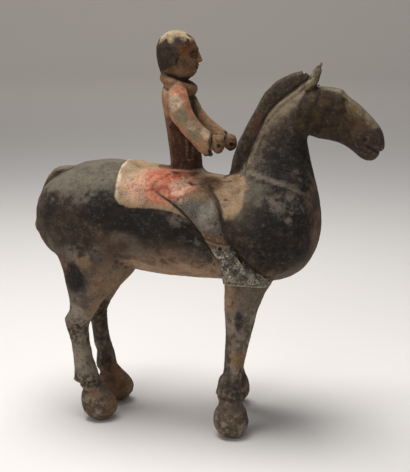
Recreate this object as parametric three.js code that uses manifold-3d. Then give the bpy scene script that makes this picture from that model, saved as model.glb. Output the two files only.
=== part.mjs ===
// A painted pottery horse with its rider, moulded and fired as one piece of clay.
// Millimetres, +Z up, +X towards the horse's nose, +Y to the horse's left.
// The origin is under the middle of the figure, on the ground that the hooves stand on.
import * as THREE from "three";
import { mergeVertices } from "three/addons/utils/BufferGeometryUtils.js";
import Module from "manifold-3d";

const wasm = await Module();
wasm.setup();

// Heights above the ground.
const fetlockZ = 38;
const hockZ = 92;
const bellyZ = 130;
const seatZ = 222;
const croupZ = 230;
const throatZ = 254;
const pollZ = 296;
const waistZ = 228;
const shoulderZ = 292;
const crownZ = 340;

// Places along the horse.
const rumpX = -149;
const croupX = -90;
const breastX = 100;
const muzzleX = 150;
const riderX = -23;

// Half widths across the horse.
const haunchHalf = 50;
const barrelHalf = 43;
const shoulderHalf = 47;
const neckHalf = 21;
const cheekHalf = 17.5;
const muzzleHalf = 11.5;

// How far each pair of hooves stands from the middle line, and how far forward the left one is of the right one.
const foreStance = 37.5;
const hindStance = 24;
const leftForeLean = -12.3;
const leftHindLean = 1;

// The rider's own sizes.
const riderShoulderHalf = 20.5;
const riderWaistHalf = 15;
const riderHeadHalf = 15;
const fistRadius = 6;
const collarRadius = 12.5;
const collarThickness = 4;
const leftArm = { shoulder: -5, hand: 3, down: 2 };
const leftLeg = { back: 3, down: 3 };

// The saddle cloth's thickness over the barrel.
const clothRelief = 1.2;

const clay = new THREE.MeshStandardMaterial({ color: 0x5a5048, roughness: 0.9, metalness: 0 });
const right = -1;
const left = 1;

// ---------------------------------------------------------------- shaping

// A closed tube through cross-sections that are given in side view. Each section is
// [x, z, x, z, half width, y]: the two ends of its depth, its half width, and its place across the horse.
// Going along the tube, the first end is on the right of the second when seen from -Y.
function swept(sections, { sides = 20, rowsPerSection = 2, roundEnds = false, squareness = 2, taper = 0 } = {}) {
  const curve = (points) => new THREE.CatmullRomCurve3(points, false, "catmullrom", 0.5);
  const first = curve(sections.map(([x, z, , , , y = 0]) => new THREE.Vector3(x, y, z)));
  const second = curve(sections.map(([, , x, z, , y = 0]) => new THREE.Vector3(x, y, z)));
  const width = curve(sections.map(([, , , , half]) => new THREE.Vector3(half, 0, 0)));
  const rows = Math.round(rowsPerSection * (sections.length - 1));
  const tube = new THREE.CylinderGeometry(1, 1, 1, sides, rows);
  const position = tube.getAttribute("position");
  const power = 2 / squareness;
  const bulge = (c) => Math.sign(c) * Math.abs(c) ** power;
  for (let i = 0; i < position.count; i++) {
    const along = position.getY(i) + 0.5;
    const t = roundEnds ? (1 - Math.cos(Math.PI * along)) / 2 : along;
    const depth = bulge(position.getX(i));
    const across = bulge(position.getZ(i)) * (1 + taper * depth);
    const a = first.getPoint(t);
    const b = second.getPoint(t);
    const at = a.clone().lerp(b, (depth + 1) / 2);
    position.setXYZ(i, at.x, at.y + across * width.getPoint(t).x, at.z);
  }
  return tube;
}

// The same tube set off to one side of the horse, and carried over by its distance across.
function onSide(side, sections) {
  return sections.map(([x1, z1, x2, z2, half, y = 0]) => [x1, z1, x2, z2, half, side * y]);
}

const upright = (x, low, high, half) => [x, low, x, high, half];
const level = (z, front, back, half, y = 0) => [front, z, back, z, half, y];

function ellipsoid(centre, radii, around = 18, up = 12) {
  return new THREE.SphereGeometry(1, around, up)
    .scale(...radii)
    .translate(...centre);
}

// ---------------------------------------------------------------- horse

function barrel(grow = 0) {
  const section = (x, low, high, half) => upright(x, low - grow, high + grow, half + grow);
  return swept(
    [
      section(rumpX, 176, 188, 5),
      section(rumpX + 4, 162, 201, 24),
      section(rumpX + 14, 148, 213, 38),
      section(rumpX + 30, 139, 222, 45),
      section(croupX - 7, bellyZ + 6, croupZ + 0.5, haunchHalf - 1),
      section(croupX + 18, bellyZ + 7, croupZ - 0.5, 47),
      section(-48, bellyZ + 3.5, seatZ + 4, barrelHalf + 0.5),
      section(-18, bellyZ, seatZ + 1, barrelHalf),
      section(15, bellyZ + 1, seatZ - 4, barrelHalf + 1),
      section(45, bellyZ + 0.5, seatZ - 8, shoulderHalf),
      section(68, bellyZ + 2, 208, shoulderHalf - 2),
      section(86, bellyZ + 12, 204, 35),
      section(breastX - 4, 158, 200, 20),
      section(breastX, 173, 188, 5),
    ],
    { sides: 24, rowsPerSection: 1.5, roundEnds: true, squareness: 2.2 },
  );
}

function neck() {
  return swept(
    [
      [93, 152, -4, 206, shoulderHalf - 7],
      [breastX - 1, 178, 15, 213, shoulderHalf - 6],
      [breastX - 0.5, 195, 28, 223, 35],
      [96, 211, 34, 233, 28],
      [92, 227, 39, 242, 23],
      [88.5, 241, 43, 252, neckHalf - 2],
      [86.5, throatZ, 49, 263, neckHalf - 4],
      [89, 266, 57, 275, 14.5],
      [94, 276, 67, 285, 13],
      [98, 284, 78, 293, 11],
      [99, 289, 86, pollZ + 1, 7],
    ],
    { sides: 20, rowsPerSection: 1.3, taper: -0.2 },
  );
}

function horseHead() {
  return swept(
    [
      [76, 272, 78, 280, 5],
      [80, 263, 82, 290, 12],
      [88, 256, 91, pollZ, 15.5],
      [98, throatZ - 1, 101, pollZ, 16.5],
      [108, throatZ - 2, 110, 294.5, 16.5],
      [115, 249.5, 117, 291, 15.5],
      [121.5, 246, 126.5, 283.5, 13.5],
      [127.5, 241, 136, 275, 12],
      [132, 237.5, 143.5, 267, muzzleHalf],
      [138, 236, muzzleX - 1.8, 259.5, muzzleHalf - 0.5],
      [142.5, 237.5, muzzleX - 0.2, 252, 8.5],
      [146, 241.5, muzzleX, 247, 3],
    ],
    { sides: 18, rowsPerSection: 1.6, roundEnds: true, squareness: 2.6, taper: 0.12 },
  );
}

// The flat round cheek, whose hind border stands out from the neck.
function cheek(side) {
  return ellipsoid([93.5, side * 11, 274], [17.5, cheekHalf - 10.5, 18.5], 16, 8);
}

// The bony ridge over each eye, which makes the corner in the head's outline.
function brow(side) {
  return ellipsoid([112, side * 10.5, 286], [6, 5.5, 5], 8, 6);
}

function ear() {
  return swept(
    onSide(right, [
      level(294, 94.5, 84, 3.8, 7.5),
      level(301, 94, 86.5, 4.2, 8),
      level(309, 95.2, 90, 3, 8.5),
      level(316.5, 96, 94.6, 0.8, 8.5),
    ]),
    { sides: 10, rowsPerSection: 1.5 },
  );
}

// The left ear has broken away and left a low stump.
function earStump() {
  return ellipsoid([91, 7.5, pollZ - 1], [5, 4, 3.6], 8, 6);
}

// The clipped mane stands up along the neck as a thick slab.
function crest() {
  return swept(
    [
      [42, 214, 17, 213, 4.5],
      [46, 224, 22, 226, 5.2],
      [49, 238, 25, 239, 5.3],
      [52, 250, 30, 252, 5.3],
      [56, 260, 37.5, 266, 5.2],
      [62, 268, 46, 283, 5],
      [70, 277, 56, 297, 5],
      [78, 284, 70, 305.3, 4.8],
      [85, 290, 81, 309, 4.5],
      [89, 292, 88.5, 304.5, 3.5],
    ],
    { sides: 12, rowsPerSection: 1.1, squareness: 3.2 },
  );
}

// The docked tail leaves the croup in a low arch and hugs the rump.
function tail() {
  return swept(
    [
      [-108, 225, -110, 214, 5],
      [-120, 223.8, -119, 213, 5.5],
      [-130, 223.5, -125, 211, 6],
      [-138.5, 218, -129, 205, 6],
      [-146, 205, -135, 198, 5.5],
      [-150.5, 190, -139, 187, 5],
      [-153, 177, -142, 177, 4.5],
      [-155.5, 168, -146, 168, 4],
      [-152, 161, -147, 161, 2],
    ],
    { sides: 10, rowsPerSection: 1.5 },
  );
}

// Moves the lower leg forward or back, by nothing at the top and by the whole lean at the hoof.
function leaning(lean, topZ, sections) {
  return sections.map(([x1, z1, x2, z2, half, y]) => {
    const shift = lean * (1 - z1 / topZ);
    return [x1 + shift, z1, x2 + shift, z2, half, y];
  });
}

function foreLeg(side, lean) {
  const sections = [
    level(186, 34, 64, 15, foreStance - 14),
    level(168, 27, 66, 17.5, foreStance - 12),
    level(152, 22.5, 66, 17, foreStance - 10),
    level(138, 22.5, 65, 14.5, foreStance - 6),
    level(126, 23.5, 57.5, 12.5, foreStance - 4),
    level(113, 24, 52.5, 12, foreStance - 3.5),
    level(98, 25, 49, 11.5, foreStance - 3),
    level(84, 25, 45.5, 10.5, foreStance - 2.5),
    level(70, 24.5, 42.5, 9.5, foreStance - 2),
    level(58, 24, 40.5, 9, foreStance - 1.5),
    level(49, 21.5, 39.5, 9, foreStance - 1),
    level(fetlockZ + 2, 17.3, 38.5, 9.5, foreStance - 0.5),
    level(fetlockZ - 3, 19.3, 38.5, 9.5, foreStance),
    level(30, 20.5, 40, 10.5, foreStance),
    level(23, 16.5, 44, 13.5, foreStance),
    level(14, 15, 46, 15, foreStance),
    level(6, 17.5, 44.5, 13, foreStance),
    level(1.5, 22.5, 40, 8.5, foreStance),
    level(0, 25, 37, 6, foreStance),
  ];
  return swept(onSide(side, leaning(lean, seatZ, sections)), { sides: 13, rowsPerSection: 1 });
}

function hindLeg(side, lean) {
  const sections = [
    level(194, -130, -78, 17, hindStance - 1),
    level(174, -130, -70, 19, hindStance + 1),
    level(154, -126, -63, 18, hindStance + 3),
    level(137, -120.5, -63, 16, hindStance + 4),
    level(121, -116.5, -74, 13.5, hindStance + 4.5),
    level(109, -114.5, -85.5, 11.5, hindStance + 4),
    level(101, -115, -90.5, 10.5, hindStance + 3.5),
    level(hockZ + 1, -120, -95.5, 10.5, hindStance + 3),
    level(hockZ - 7, -118.3, -98.7, 9.5, hindStance + 2.5),
    level(72, -115, -98.4, 8.5, hindStance + 2),
    level(58, -113.3, -96.2, 8.5, hindStance + 1.5),
    level(46, -112.8, -92.2, 9, hindStance + 1),
    level(fetlockZ - 1, -113.2, -90.3, 10, hindStance + 0.5),
    level(fetlockZ - 5, -110.5, -89.3, 10, hindStance),
    level(29, -106, -86, 10.5, hindStance),
    level(22, -107.5, -78, 13, hindStance),
    level(14, -108, -74, 14.5, hindStance),
    level(6, -104.5, -76.5, 12.5, hindStance),
    level(1.5, -98, -81.5, 8.5, hindStance),
    level(0, -95, -84.5, 6, hindStance),
  ];
  return swept(onSide(side, leaning(lean, bellyZ, sections)), { sides: 13, rowsPerSection: 1 });
}

// The cloth under the rider, which is the barrel's own surface standing a little proud within its edges.
function saddleCloth() {
  const vector = ([x, z]) => new THREE.Vector2(x, z);
  const hem = [
    [-69, 226],
    [-70, 206],
    [-64, 197],
    [-45, 193],
    [-19, 187],
    [0, 184],
    [25, 190],
    [38, 193],
    [42, 204],
    [42, 222],
  ];
  const outline = new THREE.Shape([[-66, 240], ...hem, [35, 240]].map(vector));
  const width = 2 * haunchHalf + 20;
  return new THREE.ExtrudeGeometry(outline, { depth: width, bevelEnabled: false })
    .translate(0, 0, -width / 2)
    .rotateX(Math.PI / 2);
}

// A wedge that parts the lips.
function mouthCut() {
  const slit = new THREE.Shape()
    .moveTo(135, 249.2)
    .lineTo(152, 240.5)
    .lineTo(150, 238.5);
  return new THREE.ExtrudeGeometry(slit, { depth: 2 * muzzleHalf + 6, bevelEnabled: false })
    .translate(0, 0, -muzzleHalf - 3)
    .rotateX(Math.PI / 2);
}

function nostril(side) {
  return ellipsoid([134.5, side * (muzzleHalf + 1), 255], [2, 2.5, 1.6], 8, 6);
}

// ---------------------------------------------------------------- rider

function torso() {
  return swept(
    [
      level(waistZ - 8, -1, -31, 19),
      level(waistZ + 2, -2.8, -29.5, riderWaistHalf + 0.5),
      level(waistZ + 14, -4, -30.5, riderWaistHalf),
      level(waistZ + 28, -6, -32, riderWaistHalf + 1),
      level(waistZ + 43, -8, -34.3, riderShoulderHalf - 2.5),
      level(shoulderZ - 8, -9.5, -36, riderShoulderHalf),
      level(shoulderZ, -11, -36, riderShoulderHalf - 2),
      level(shoulderZ + 7, -14.5, -33.5, 12),
      level(shoulderZ + 13, -16, -31, 9),
    ],
    { sides: 16, rowsPerSection: 1.2, squareness: 2.3 },
  );
}

function hips() {
  return ellipsoid([riderX + 8, 0, 206], [24.5, 38, 16.5], 16, 10);
}

function riderLeg(side) {
  const sections = onSide(side, [
    [-36, 208, 3, 217, 12, 24],
    [-28, 203.5, 11.5, 211, 10, 34],
    [-14, 197.5, 20, 203, 8.5, 41],
    [-3, 189, 22.5, 194, 7.5, 45],
    [4.5, 180, 25, 185, 7, 46.5],
    [11.5, 170, 29, 175, 6.5, 48],
    [17.5, 161, 33, 167, 6, 49],
    [22.5, 151, 39.5, 158, 6, 50],
    [25, 143, 46, 151, 6, 50.5],
    [27, 140, 48, 147, 5, 50.5],
  ]);
  return swept(sections, { sides: 12, rowsPerSection: 1 });
}

// A flat-soled boot that points forward and a little down.
function boot(side) {
  const sections = onSide(side, [
    [25, 139, 25.5, 147, 4.5, 51],
    [30, 137.5, 32, 153, 6, 51],
    [38, 137.5, 40, 154, 6.5, 51],
    [48, 137.5, 50, 149, 6.5, 51],
    [57, 137.5, 58, 143, 5, 51],
    [62.3, 138, 62.7, 139.8, 1.8, 51],
  ]);
  return swept(sections, { sides: 12, rowsPerSection: 1.3, squareness: 2.4 });
}

function sleeve(side) {
  const sections = onSide(side, [
    [-33, 288, -18, 299.5, 5, 15],
    [-31, 279, -10, 292, 8, 18.5],
    [-25.5, 270.5, -7.5, 281, 8.5, 21],
    [-18, 261.5, -3, 271, 8, 22.5],
    [-9.5, 253, 4, 263.5, 8, 22.5],
    [-2, 244, 10, 258.5, 8, 21.5],
    [7, 237, 13, 256, 7.5, 20.5],
  ]);
  const reach = ([x1, z1, x2, z2, half, y], i) => {
    const t = i / (sections.length - 1);
    const shift = THREE.MathUtils.lerp(leftArm.shoulder, leftArm.hand, t);
    return [x1 + shift, z1 - leftArm.down, x2 + shift, z2 - leftArm.down, half, y];
  };
  return swept(side === left ? sections.map(reach) : sections, { sides: 12, rowsPerSection: 1.2 });
}

function handCentre(side) {
  return side === left ? [15.5 + leftArm.hand, 20, 247 - leftArm.down] : [15.5, -20, 249];
}

function fist(side) {
  return ellipsoid(handCentre(side), [fistRadius, fistRadius, fistRadius + 2.4], 12, 8);
}

// Each fist is pierced from side to side for the lost reins.
function reinHole(side) {
  const [x, y, z] = handCentre(side);
  return new THREE.CylinderGeometry(1.2, 1.2, 4 * fistRadius, 8).translate(x + 1.5, y, z - 1);
}

function collar() {
  return new THREE.TorusGeometry(collarRadius, collarThickness, 8, 20)
    .scale(1, 0.95, 1)
    .rotateY(0.38)
    .translate(riderX + 0.5, 0, shoulderZ + 4.5);
}

function riderHead() {
  return swept(
    [
      level(300, riderX + 9, riderX - 9, 8),
      level(305, riderX + 14.5, riderX - 14, 12),
      level(311, riderX + 17, riderX - 16.5, 14),
      level(319, riderX + 17.5, riderX - 18, riderHeadHalf),
      level(327, riderX + 16.5, riderX - 18, riderHeadHalf),
      level(334, riderX + 12.5, riderX - 15, 12.5),
      level(crownZ - 1.5, riderX + 6, riderX - 9, 7.5),
      level(crownZ, riderX + 2, riderX - 4, 2.5),
    ],
    { sides: 16, rowsPerSection: 1.6, roundEnds: true, squareness: 2.2 },
  );
}

function nose() {
  return swept(
    [
      level(322.5, riderX + 17.8, riderX + 10, 1),
      level(318, riderX + 19.3, riderX + 10, 1.8),
      level(315.6, riderX + 20, riderX + 10, 2.6),
      level(314, riderX + 18, riderX + 10, 2.2),
    ].reverse(),
    { sides: 8, rowsPerSection: 1 },
  );
}

function riderEar(side) {
  return ellipsoid([riderX - 1, side * riderHeadHalf, 318.5], [2.6, 1.8, 4.2], 8, 6);
}

// ---------------------------------------------------------------- joining

function solidOf(geometry) {
  geometry.deleteAttribute("normal");
  geometry.deleteAttribute("uv");
  const merged = mergeVertices(geometry, 1e-3);
  return new wasm.Manifold(
    new wasm.Mesh({
      numProp: 3,
      vertProperties: new Float32Array(merged.getAttribute("position").array),
      triVerts: new Uint32Array(merged.getIndex().array),
    }),
  );
}

const onBothSides = (make) => [make(right), make(left)];

const forms = [
  barrel(),
  neck(),
  horseHead(),
  ...onBothSides(cheek),
  ...onBothSides(brow),
  ear(),
  earStump(),
  crest(),
  tail(),
  foreLeg(right, 0),
  foreLeg(left, leftForeLean),
  hindLeg(right, 0),
  hindLeg(left, leftHindLean),
  torso(),
  hips(),
  riderLeg(right),
  riderLeg(left).translate(-leftLeg.back, 0, -leftLeg.down),
  boot(right),
  boot(left).translate(-leftLeg.back, 0, -leftLeg.down),
  ...onBothSides(sleeve),
  ...onBothSides(fist),
  collar(),
  riderHead(),
  nose(),
  ...onBothSides(riderEar),
];
const cuts = [mouthCut(), ...onBothSides(nostril), ...onBothSides(reinHole)];

let figure = solidOf(barrel(clothRelief)).intersect(solidOf(saddleCloth()));
for (const form of forms) figure = figure.add(solidOf(form));
for (const cut of cuts) figure = figure.subtract(solidOf(cut));

const joined = figure.getMesh();
const geometry = new THREE.BufferGeometry()
  .setAttribute("position", new THREE.BufferAttribute(joined.vertProperties, 3))
  .setIndex(new THREE.BufferAttribute(joined.triVerts, 1));
geometry.computeVertexNormals();
geometry.computeBoundingBox();

// The figure is set down with the middle of its box over the origin.
const middle = geometry.boundingBox.getCenter(new THREE.Vector3());
geometry.translate(-middle.x, -middle.y, 0);

const mesh = new THREE.Mesh(geometry, clay);
mesh.name = "horse_and_rider";

const part = new THREE.Group();
part.name = "horse_with_rider";
part.add(mesh);

export default part;
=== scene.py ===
import math

import bmesh
import bpy
import numpy as np
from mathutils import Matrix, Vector


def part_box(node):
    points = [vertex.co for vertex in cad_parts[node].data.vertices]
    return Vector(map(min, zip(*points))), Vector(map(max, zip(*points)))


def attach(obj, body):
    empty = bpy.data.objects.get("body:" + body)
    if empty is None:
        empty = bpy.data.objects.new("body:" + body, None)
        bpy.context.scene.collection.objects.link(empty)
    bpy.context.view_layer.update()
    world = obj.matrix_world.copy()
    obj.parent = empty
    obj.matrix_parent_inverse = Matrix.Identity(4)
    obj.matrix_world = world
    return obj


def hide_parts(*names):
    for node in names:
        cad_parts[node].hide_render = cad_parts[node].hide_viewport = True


# A horse and its rider in painted grey pottery, fired as one piece and long buried.
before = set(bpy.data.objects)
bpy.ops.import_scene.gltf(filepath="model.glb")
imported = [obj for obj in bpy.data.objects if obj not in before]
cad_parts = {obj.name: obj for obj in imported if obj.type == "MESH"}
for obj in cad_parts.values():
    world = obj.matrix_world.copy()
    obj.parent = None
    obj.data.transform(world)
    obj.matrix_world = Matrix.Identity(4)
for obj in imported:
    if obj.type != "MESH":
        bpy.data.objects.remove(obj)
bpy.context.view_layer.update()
print("frame loaded")

low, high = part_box("horse_and_rider")
noseTip = 150.0  # the muzzle's place along the horse in the maker's millimetres, which the sizes below are in
shift = np.array([high.x * 1000.0 - noseTip, (low.y + high.y) * 500.0, low.z * 1000.0])


def ease(t):
    t = np.clip(t, 0.0, 1.0)
    return t * t * (3.0 - 2.0 * t)


def band(value, start, end, soft):
    # 1 between start and end, fading out over soft on both sides
    return ease((value - start) / soft + 0.5) * ease((end - value) / soft + 0.5)


def bump(distance, width):
    return np.exp(-((distance / width) ** 2))


def inside(p, centre, radii, soft=0.25):
    # 1 well within an ellipsoid, 0 outside it
    away = np.sqrt((((p - np.array(centre)) / np.array(radii)) ** 2).sum(1))
    return ease((1.0 - away) / soft + 0.5)


def strokeDistance(q, path):
    # distance to a drawn line, and how far along it from 0 to 1
    path = np.array(path, float)
    lengths = np.linalg.norm(np.diff(path, axis=0), axis=1)
    begun = np.concatenate([[0.0], np.cumsum(lengths)])
    best = np.full(len(q), 1e9)
    along = np.zeros(len(q))
    for i, length in enumerate(lengths):
        step = path[i + 1] - path[i]
        t = np.clip(((q - path[i]) @ step) / (length * length), 0.0, 1.0)
        away = np.linalg.norm(q - path[i] - t[:, None] * step, axis=1)
        nearer = away < best
        best[nearer] = away[nearer]
        along[nearer] = (begun[i] + t[nearer] * length) / begun[-1]
    return best, along


def outlineDepth(q, outline):
    # how far inside a closed outline a point is, less than zero outside it
    ring = np.array(outline + outline[:1], float)
    away, _ = strokeDistance(q, ring)
    odd = np.zeros(len(q), bool)
    for a, b in zip(ring[:-1], ring[1:]):
        spans = (a[1] > q[:, 1]) != (b[1] > q[:, 1])
        rise = b[1] - a[1] if b[1] != a[1] else 1e-9
        odd ^= spans & (q[:, 0] < a[0] + (q[:, 1] - a[1]) * (b[0] - a[0]) / rise)
    return np.where(odd, away, -away)


def latticeValue(cell, seed):
    h = cell[:, 0] * 374761393 + cell[:, 1] * 668265263 + cell[:, 2] * 1440662683 + seed * 974634777
    h = (h ^ (h >> 13)) & 0xFFFFFFFF
    h = (h * 1274126177) & 0xFFFFFFFF
    return ((h ^ (h >> 16)) & 0xFFFF) / 32767.5 - 1.0


def mottle(p, size, seed):
    # smooth random lumps from -1 to 1, of about the given size
    q = p / size + 31.7 * seed
    cell = np.floor(q).astype(np.int64)
    part = q - cell
    part = part * part * (3.0 - 2.0 * part)
    total = np.zeros(len(p))
    for corner in range(8):
        take = np.array([corner & 1, corner >> 1 & 1, corner >> 2 & 1])
        weight = np.prod(np.where(take, part, 1.0 - part), axis=1)
        total += weight * latticeValue(cell + take, seed)
    return total


def roughly(p, size, seed, steps=3):
    # lumps with smaller lumps on them
    total, weight = np.zeros(len(p)), 0.0
    for i in range(steps):
        total += mottle(p, size / 2**i, seed + i) / 1.8**i
        weight += 1.0 / 1.8**i
    return total / weight * 1.5


def side(p):
    return p[:, [0, 2]]


def legSide(p):
    # seen from the side; the rider's left leg sits 3 mm back and 3 mm lower than the right one
    return side(p) + np.where(p[:, 1:2] > 0, 3.0, 0.0)


# outlines and lines seen from the side, as places along the horse and above the soles
maneFoot = [
    (89, 303), (82, 299), (71, 290), (61, 282), (54, 274), (49, 265), (45, 256), (41, 247), (38, 237),
    (36, 226),
]
maneTop = [
    (18, 219), (21, 226), (27, 247), (39, 271), (46, 285), (54, 297), (66, 306), (83, 311.5), (92, 309),
    (91, 304),
]
neckRidge = [
    (88, 297.5), (81, 292.5), (71.5, 284.5), (62.5, 276), (55.5, 266), (50, 256.5), (46, 247.5),
    (42.5, 238), (40, 228),
]
headOutline = [
    (98, 300), (89, 297), (82, 289), (77.5, 277), (78, 265), (85, 257), (93, 252), (106, 249),
    (119, 243), (130, 234), (147, 234), (155, 247), (153, 262), (139, 282), (121, 298), (106, 302),
]
clothHem = [
    (-69, 245), (-69, 235), (-69, 226), (-68.5, 215), (-68, 206), (-64, 200), (-57, 197.5), (-43, 197),
    (-31, 196.5), (-19, 195), (-8, 191), (6, 186), (20, 189), (30, 192), (36, 197), (38.5, 206),
    (39.5, 214), (37, 220), (30, 224), (10, 232),
]
riderLegOutline = [
    (-37, 217), (-38, 211), (-30, 207), (-22, 203.5), (-12, 197), (0, 186), (6, 179), (11.5, 170),
    (16.5, 162), (22, 152), (24, 144), (24, 136), (64, 136), (64, 141), (56, 146), (48, 151), (40, 158),
    (32.5, 168), (27.5, 176), (24, 189), (21.5, 198), (18, 205), (11, 212), (4, 219), (-6, 224),
    (-24, 224),
]
legRear = [
    (-37, 213), (-30, 207), (-22, 203.5), (-12, 197), (0, 186), (6, 179), (11.5, 170), (16.5, 162),
    (22, 152), (23, 142),
]
legFront = [
    (6, 219), (11, 212), (18, 205), (21.5, 198), (24, 189), (27.5, 176), (32.5, 168), (40, 158),
    (48, 151), (62, 141.5),
]
tailLine = [
    (-108, 222), (-120, 219), (-131, 217), (-137, 211), (-143, 200), (-147, 188), (-149, 176), (-151, 165),
]
shoulderEdge = [(42, 226), (50, 224.5), (58, 222.5), (71, 219), (80, 215.5), (89, 210)]
bootTop = 171.5
# the middle of each sleeve, from the shoulder to the wrist
armRight = [
    (-25.5, -15, 293.7), (-20.5, -18.5, 285.5), (-16.5, -21, 275.7), (-10.5, -22.5, 266.2),
    (-2.7, -22.5, 258.2), (4, -21.5, 251.2), (10, -20.5, 246.5),
]
armLeft = [(x - 5 + 8 * i / 6, -y, z - 2) for i, (x, y, z) in enumerate(armRight)]


def barrelSide(z):
    # half the barrel's width at a height
    return 44.0 * (1.0 - np.clip(np.abs((z - 175.0) / 48.0), 0, 1) ** 2.2) ** (1 / 2.2)


def riderLegDepth(p):
    # how far inside the rider's legs a point is
    proud = np.abs(p[:, 1]) - barrelSide(p[:, 2]) - 0.8
    return np.minimum(outlineDepth(legSide(p), riderLegOutline), proud * 1.2)


def maneDepth(p):
    # how far inside the mane's slab a point is
    return np.minimum(outlineDepth(side(p), maneTop + maneFoot), 7.5 - np.abs(p[:, 1]))


def horseHeadPart(p):
    # 1 on the horse's head in front of the cheek's hind border
    return ease(outlineDepth(side(p), headOutline) / 3.0 + 0.3)


def riderPart(p):
    # 1 on the rider above the hips
    x, y, z = p.T
    waist = ease((np.where(z < 240, 21.0, 60.0) - np.hypot(x + 19.0, y * 1.02)) / 3.0 + 0.5)
    sides = ease((np.where(z > 236, 40.0, 30.5) - np.abs(y)) / 3.0)
    ends = (x > -50) * ease((27.0 - x) / 4.0 + 0.5)
    return ease((z - 226.0) / 3.0 + 0.5) * waist * sides * ends * (1.0 - ease((maneDepth(p) + 1.5) / 1.5))


def armDistance(p):
    right, _ = strokeDistance(p, armRight)
    left, _ = strokeDistance(p, armLeft)
    return np.minimum(right, left)


def armPart(p):
    # 1 on the sleeves
    x, y, z = p.T
    reach = 10.0 + 3.0 * ease((np.abs(y) - 19.0) / 4.0) + 2.5 * ease((z - 282.0) / 8.0)
    return ease((reach - armDistance(p)) / 1.2 + 0.5) * ease((np.abs(y) - 11.5) / 2.0) * (x < 15)


clayBody = {
    "name": "potteryHorseAndRider",
    "voxel": 0.0010,
    "smoothing": 190,
    "spreading": 6,  # how far the smoothing's strength runs over from one form to the next
    "givenBack": 0.6,  # the most that is given back after smoothing, in millimetres
    "givenEvenly": 40,
    "bubblePoints": 2000,
    "triangles": 192000,
}


def neighbourMean(values, edges, degree):
    total = np.empty_like(values)
    for k in range(values.shape[1]):
        column = values[:, k]
        total[:, k] = np.bincount(edges[:, 0], column[edges[:, 1]], len(values)) + np.bincount(
            edges[:, 1], column[edges[:, 0]], len(values)
        )
    return total / degree[:, None]


class Clay:
    # the figure's mesh as arrays in the maker's millimetres
    def __init__(self, mesh):
        self.mesh = mesh
        count = len(mesh.vertices)
        co = np.empty(count * 3, np.float32)
        mesh.vertices.foreach_get("co", co)
        self.p = co.reshape(-1, 3).astype(float) * 1000.0 - shift
        edges = np.empty(len(mesh.edges) * 2, np.int32)
        mesh.edges.foreach_get("vertices", edges)
        self.edges = edges.reshape(-1, 2)
        self.degree = np.bincount(self.edges.ravel(), minlength=count).astype(float)
        self.store()

    def store(self):
        co = ((self.p + shift) / 1000.0).astype(np.float32)
        self.mesh.vertices.foreach_set("co", co.ravel())
        self.mesh.update()
        n = np.empty(len(self.mesh.vertices) * 3, np.float32)
        self.mesh.vertex_normals.foreach_get("vector", n)
        self.n = n.reshape(-1, 3).astype(float)

    def relax(self, weight, times, rate=0.6):
        for _ in range(times):
            mean = neighbourMean(self.p, self.edges, self.degree)
            self.p += rate * weight[:, None] * (mean - self.p)
        self.store()

    def push(self, amount):
        self.p += amount[:, None] * self.n
        self.store()

    def hollowness(self, times):
        # above 0 in hollows and below 0 on edges, at a size that grows with times
        q = self.p
        for _ in range(times):
            q = neighbourMean(q, self.edges, self.degree)
        return ((q - self.p) * self.n).sum(1)


def softness(p):
    # 1 on the big smooth forms, near 0 where the modelling is small and crisp
    w = np.ones(len(p))
    legs = ease((136.0 - p[:, 2]) / 14.0)
    w = w * (1 - legs) + (0.09 + 0.12 * ease((27.0 - p[:, 2]) / 5.0)) * legs
    joints = np.maximum(band(p[:, 2], 84, 101, 8) * (p[:, 0] < -60), band(p[:, 2], 28, 45, 6))
    w *= 1.0 - 0.55 * joints
    w = np.where(horseHeadPart(p) > 0.3, 0.035, w)
    crease, _ = strokeDistance(side(p), maneFoot)
    w *= 1.0 - 0.95 * bump(crease, 5.0) * (np.abs(p[:, 1]) < 14)
    w = np.where(maneDepth(p) > 0, 0.05, w)
    tailAway, _ = strokeDistance(side(p), tailLine)
    w = np.where((tailAway < 9) & (np.abs(p[:, 1]) < 9), 0.06, w)
    w = np.where(riderPart(p) > 0.2, 0.03, w)
    w = np.where((riderLegDepth(p) > -3.0) & (p[:, 0] > -14), 0.07, w)
    w = np.where((p[:, 2] > 290) & (p[:, 0] < 10), 0.03, w)
    w = np.where((p[:, 2] > 292) & (p[:, 0] > 80) & (p[:, 1] < -4) & (p[:, 0] < 101), 0.015, w)  # the ear
    return w


def dropBubbles(work):
    # small closed skins left inside the clay are no part of the figure
    seen, bubbles = set(), []
    for first in work.verts:
        if first in seen:
            continue
        skin, waiting = [first], [first]
        seen.add(first)
        while waiting:
            for edge in waiting.pop().link_edges:
                for vert in edge.verts:
                    if vert not in seen:
                        seen.add(vert)
                        skin.append(vert)
                        waiting.append(vert)
        if len(skin) < clayBody["bubblePoints"]:
            bubbles += skin
    bmesh.ops.delete(work, geom=bubbles, context="VERTS")


def finerFaces(mesh):
    # the rider's head and hands are small, so their faces are halved before they are modelled
    work = bmesh.new()
    work.from_mesh(mesh)
    dropBubbles(work)
    chosen = []
    for edge in work.edges:
        x, y, z = (edge.verts[0].co + edge.verts[1].co) * 500.0 - Vector(shift)
        onHead = z > 301.0 and x < 12.0
        onHand = 234.0 < z < 262.0 and 4.0 < x < 28.0 and 9.0 < abs(y) < 33.0
        if onHead or onHand:
            chosen.append(edge)
    bmesh.ops.subdivide_edges(work, edges=chosen, cuts=1, use_grid_fill=True)
    work.to_mesh(mesh)
    work.free()


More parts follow.
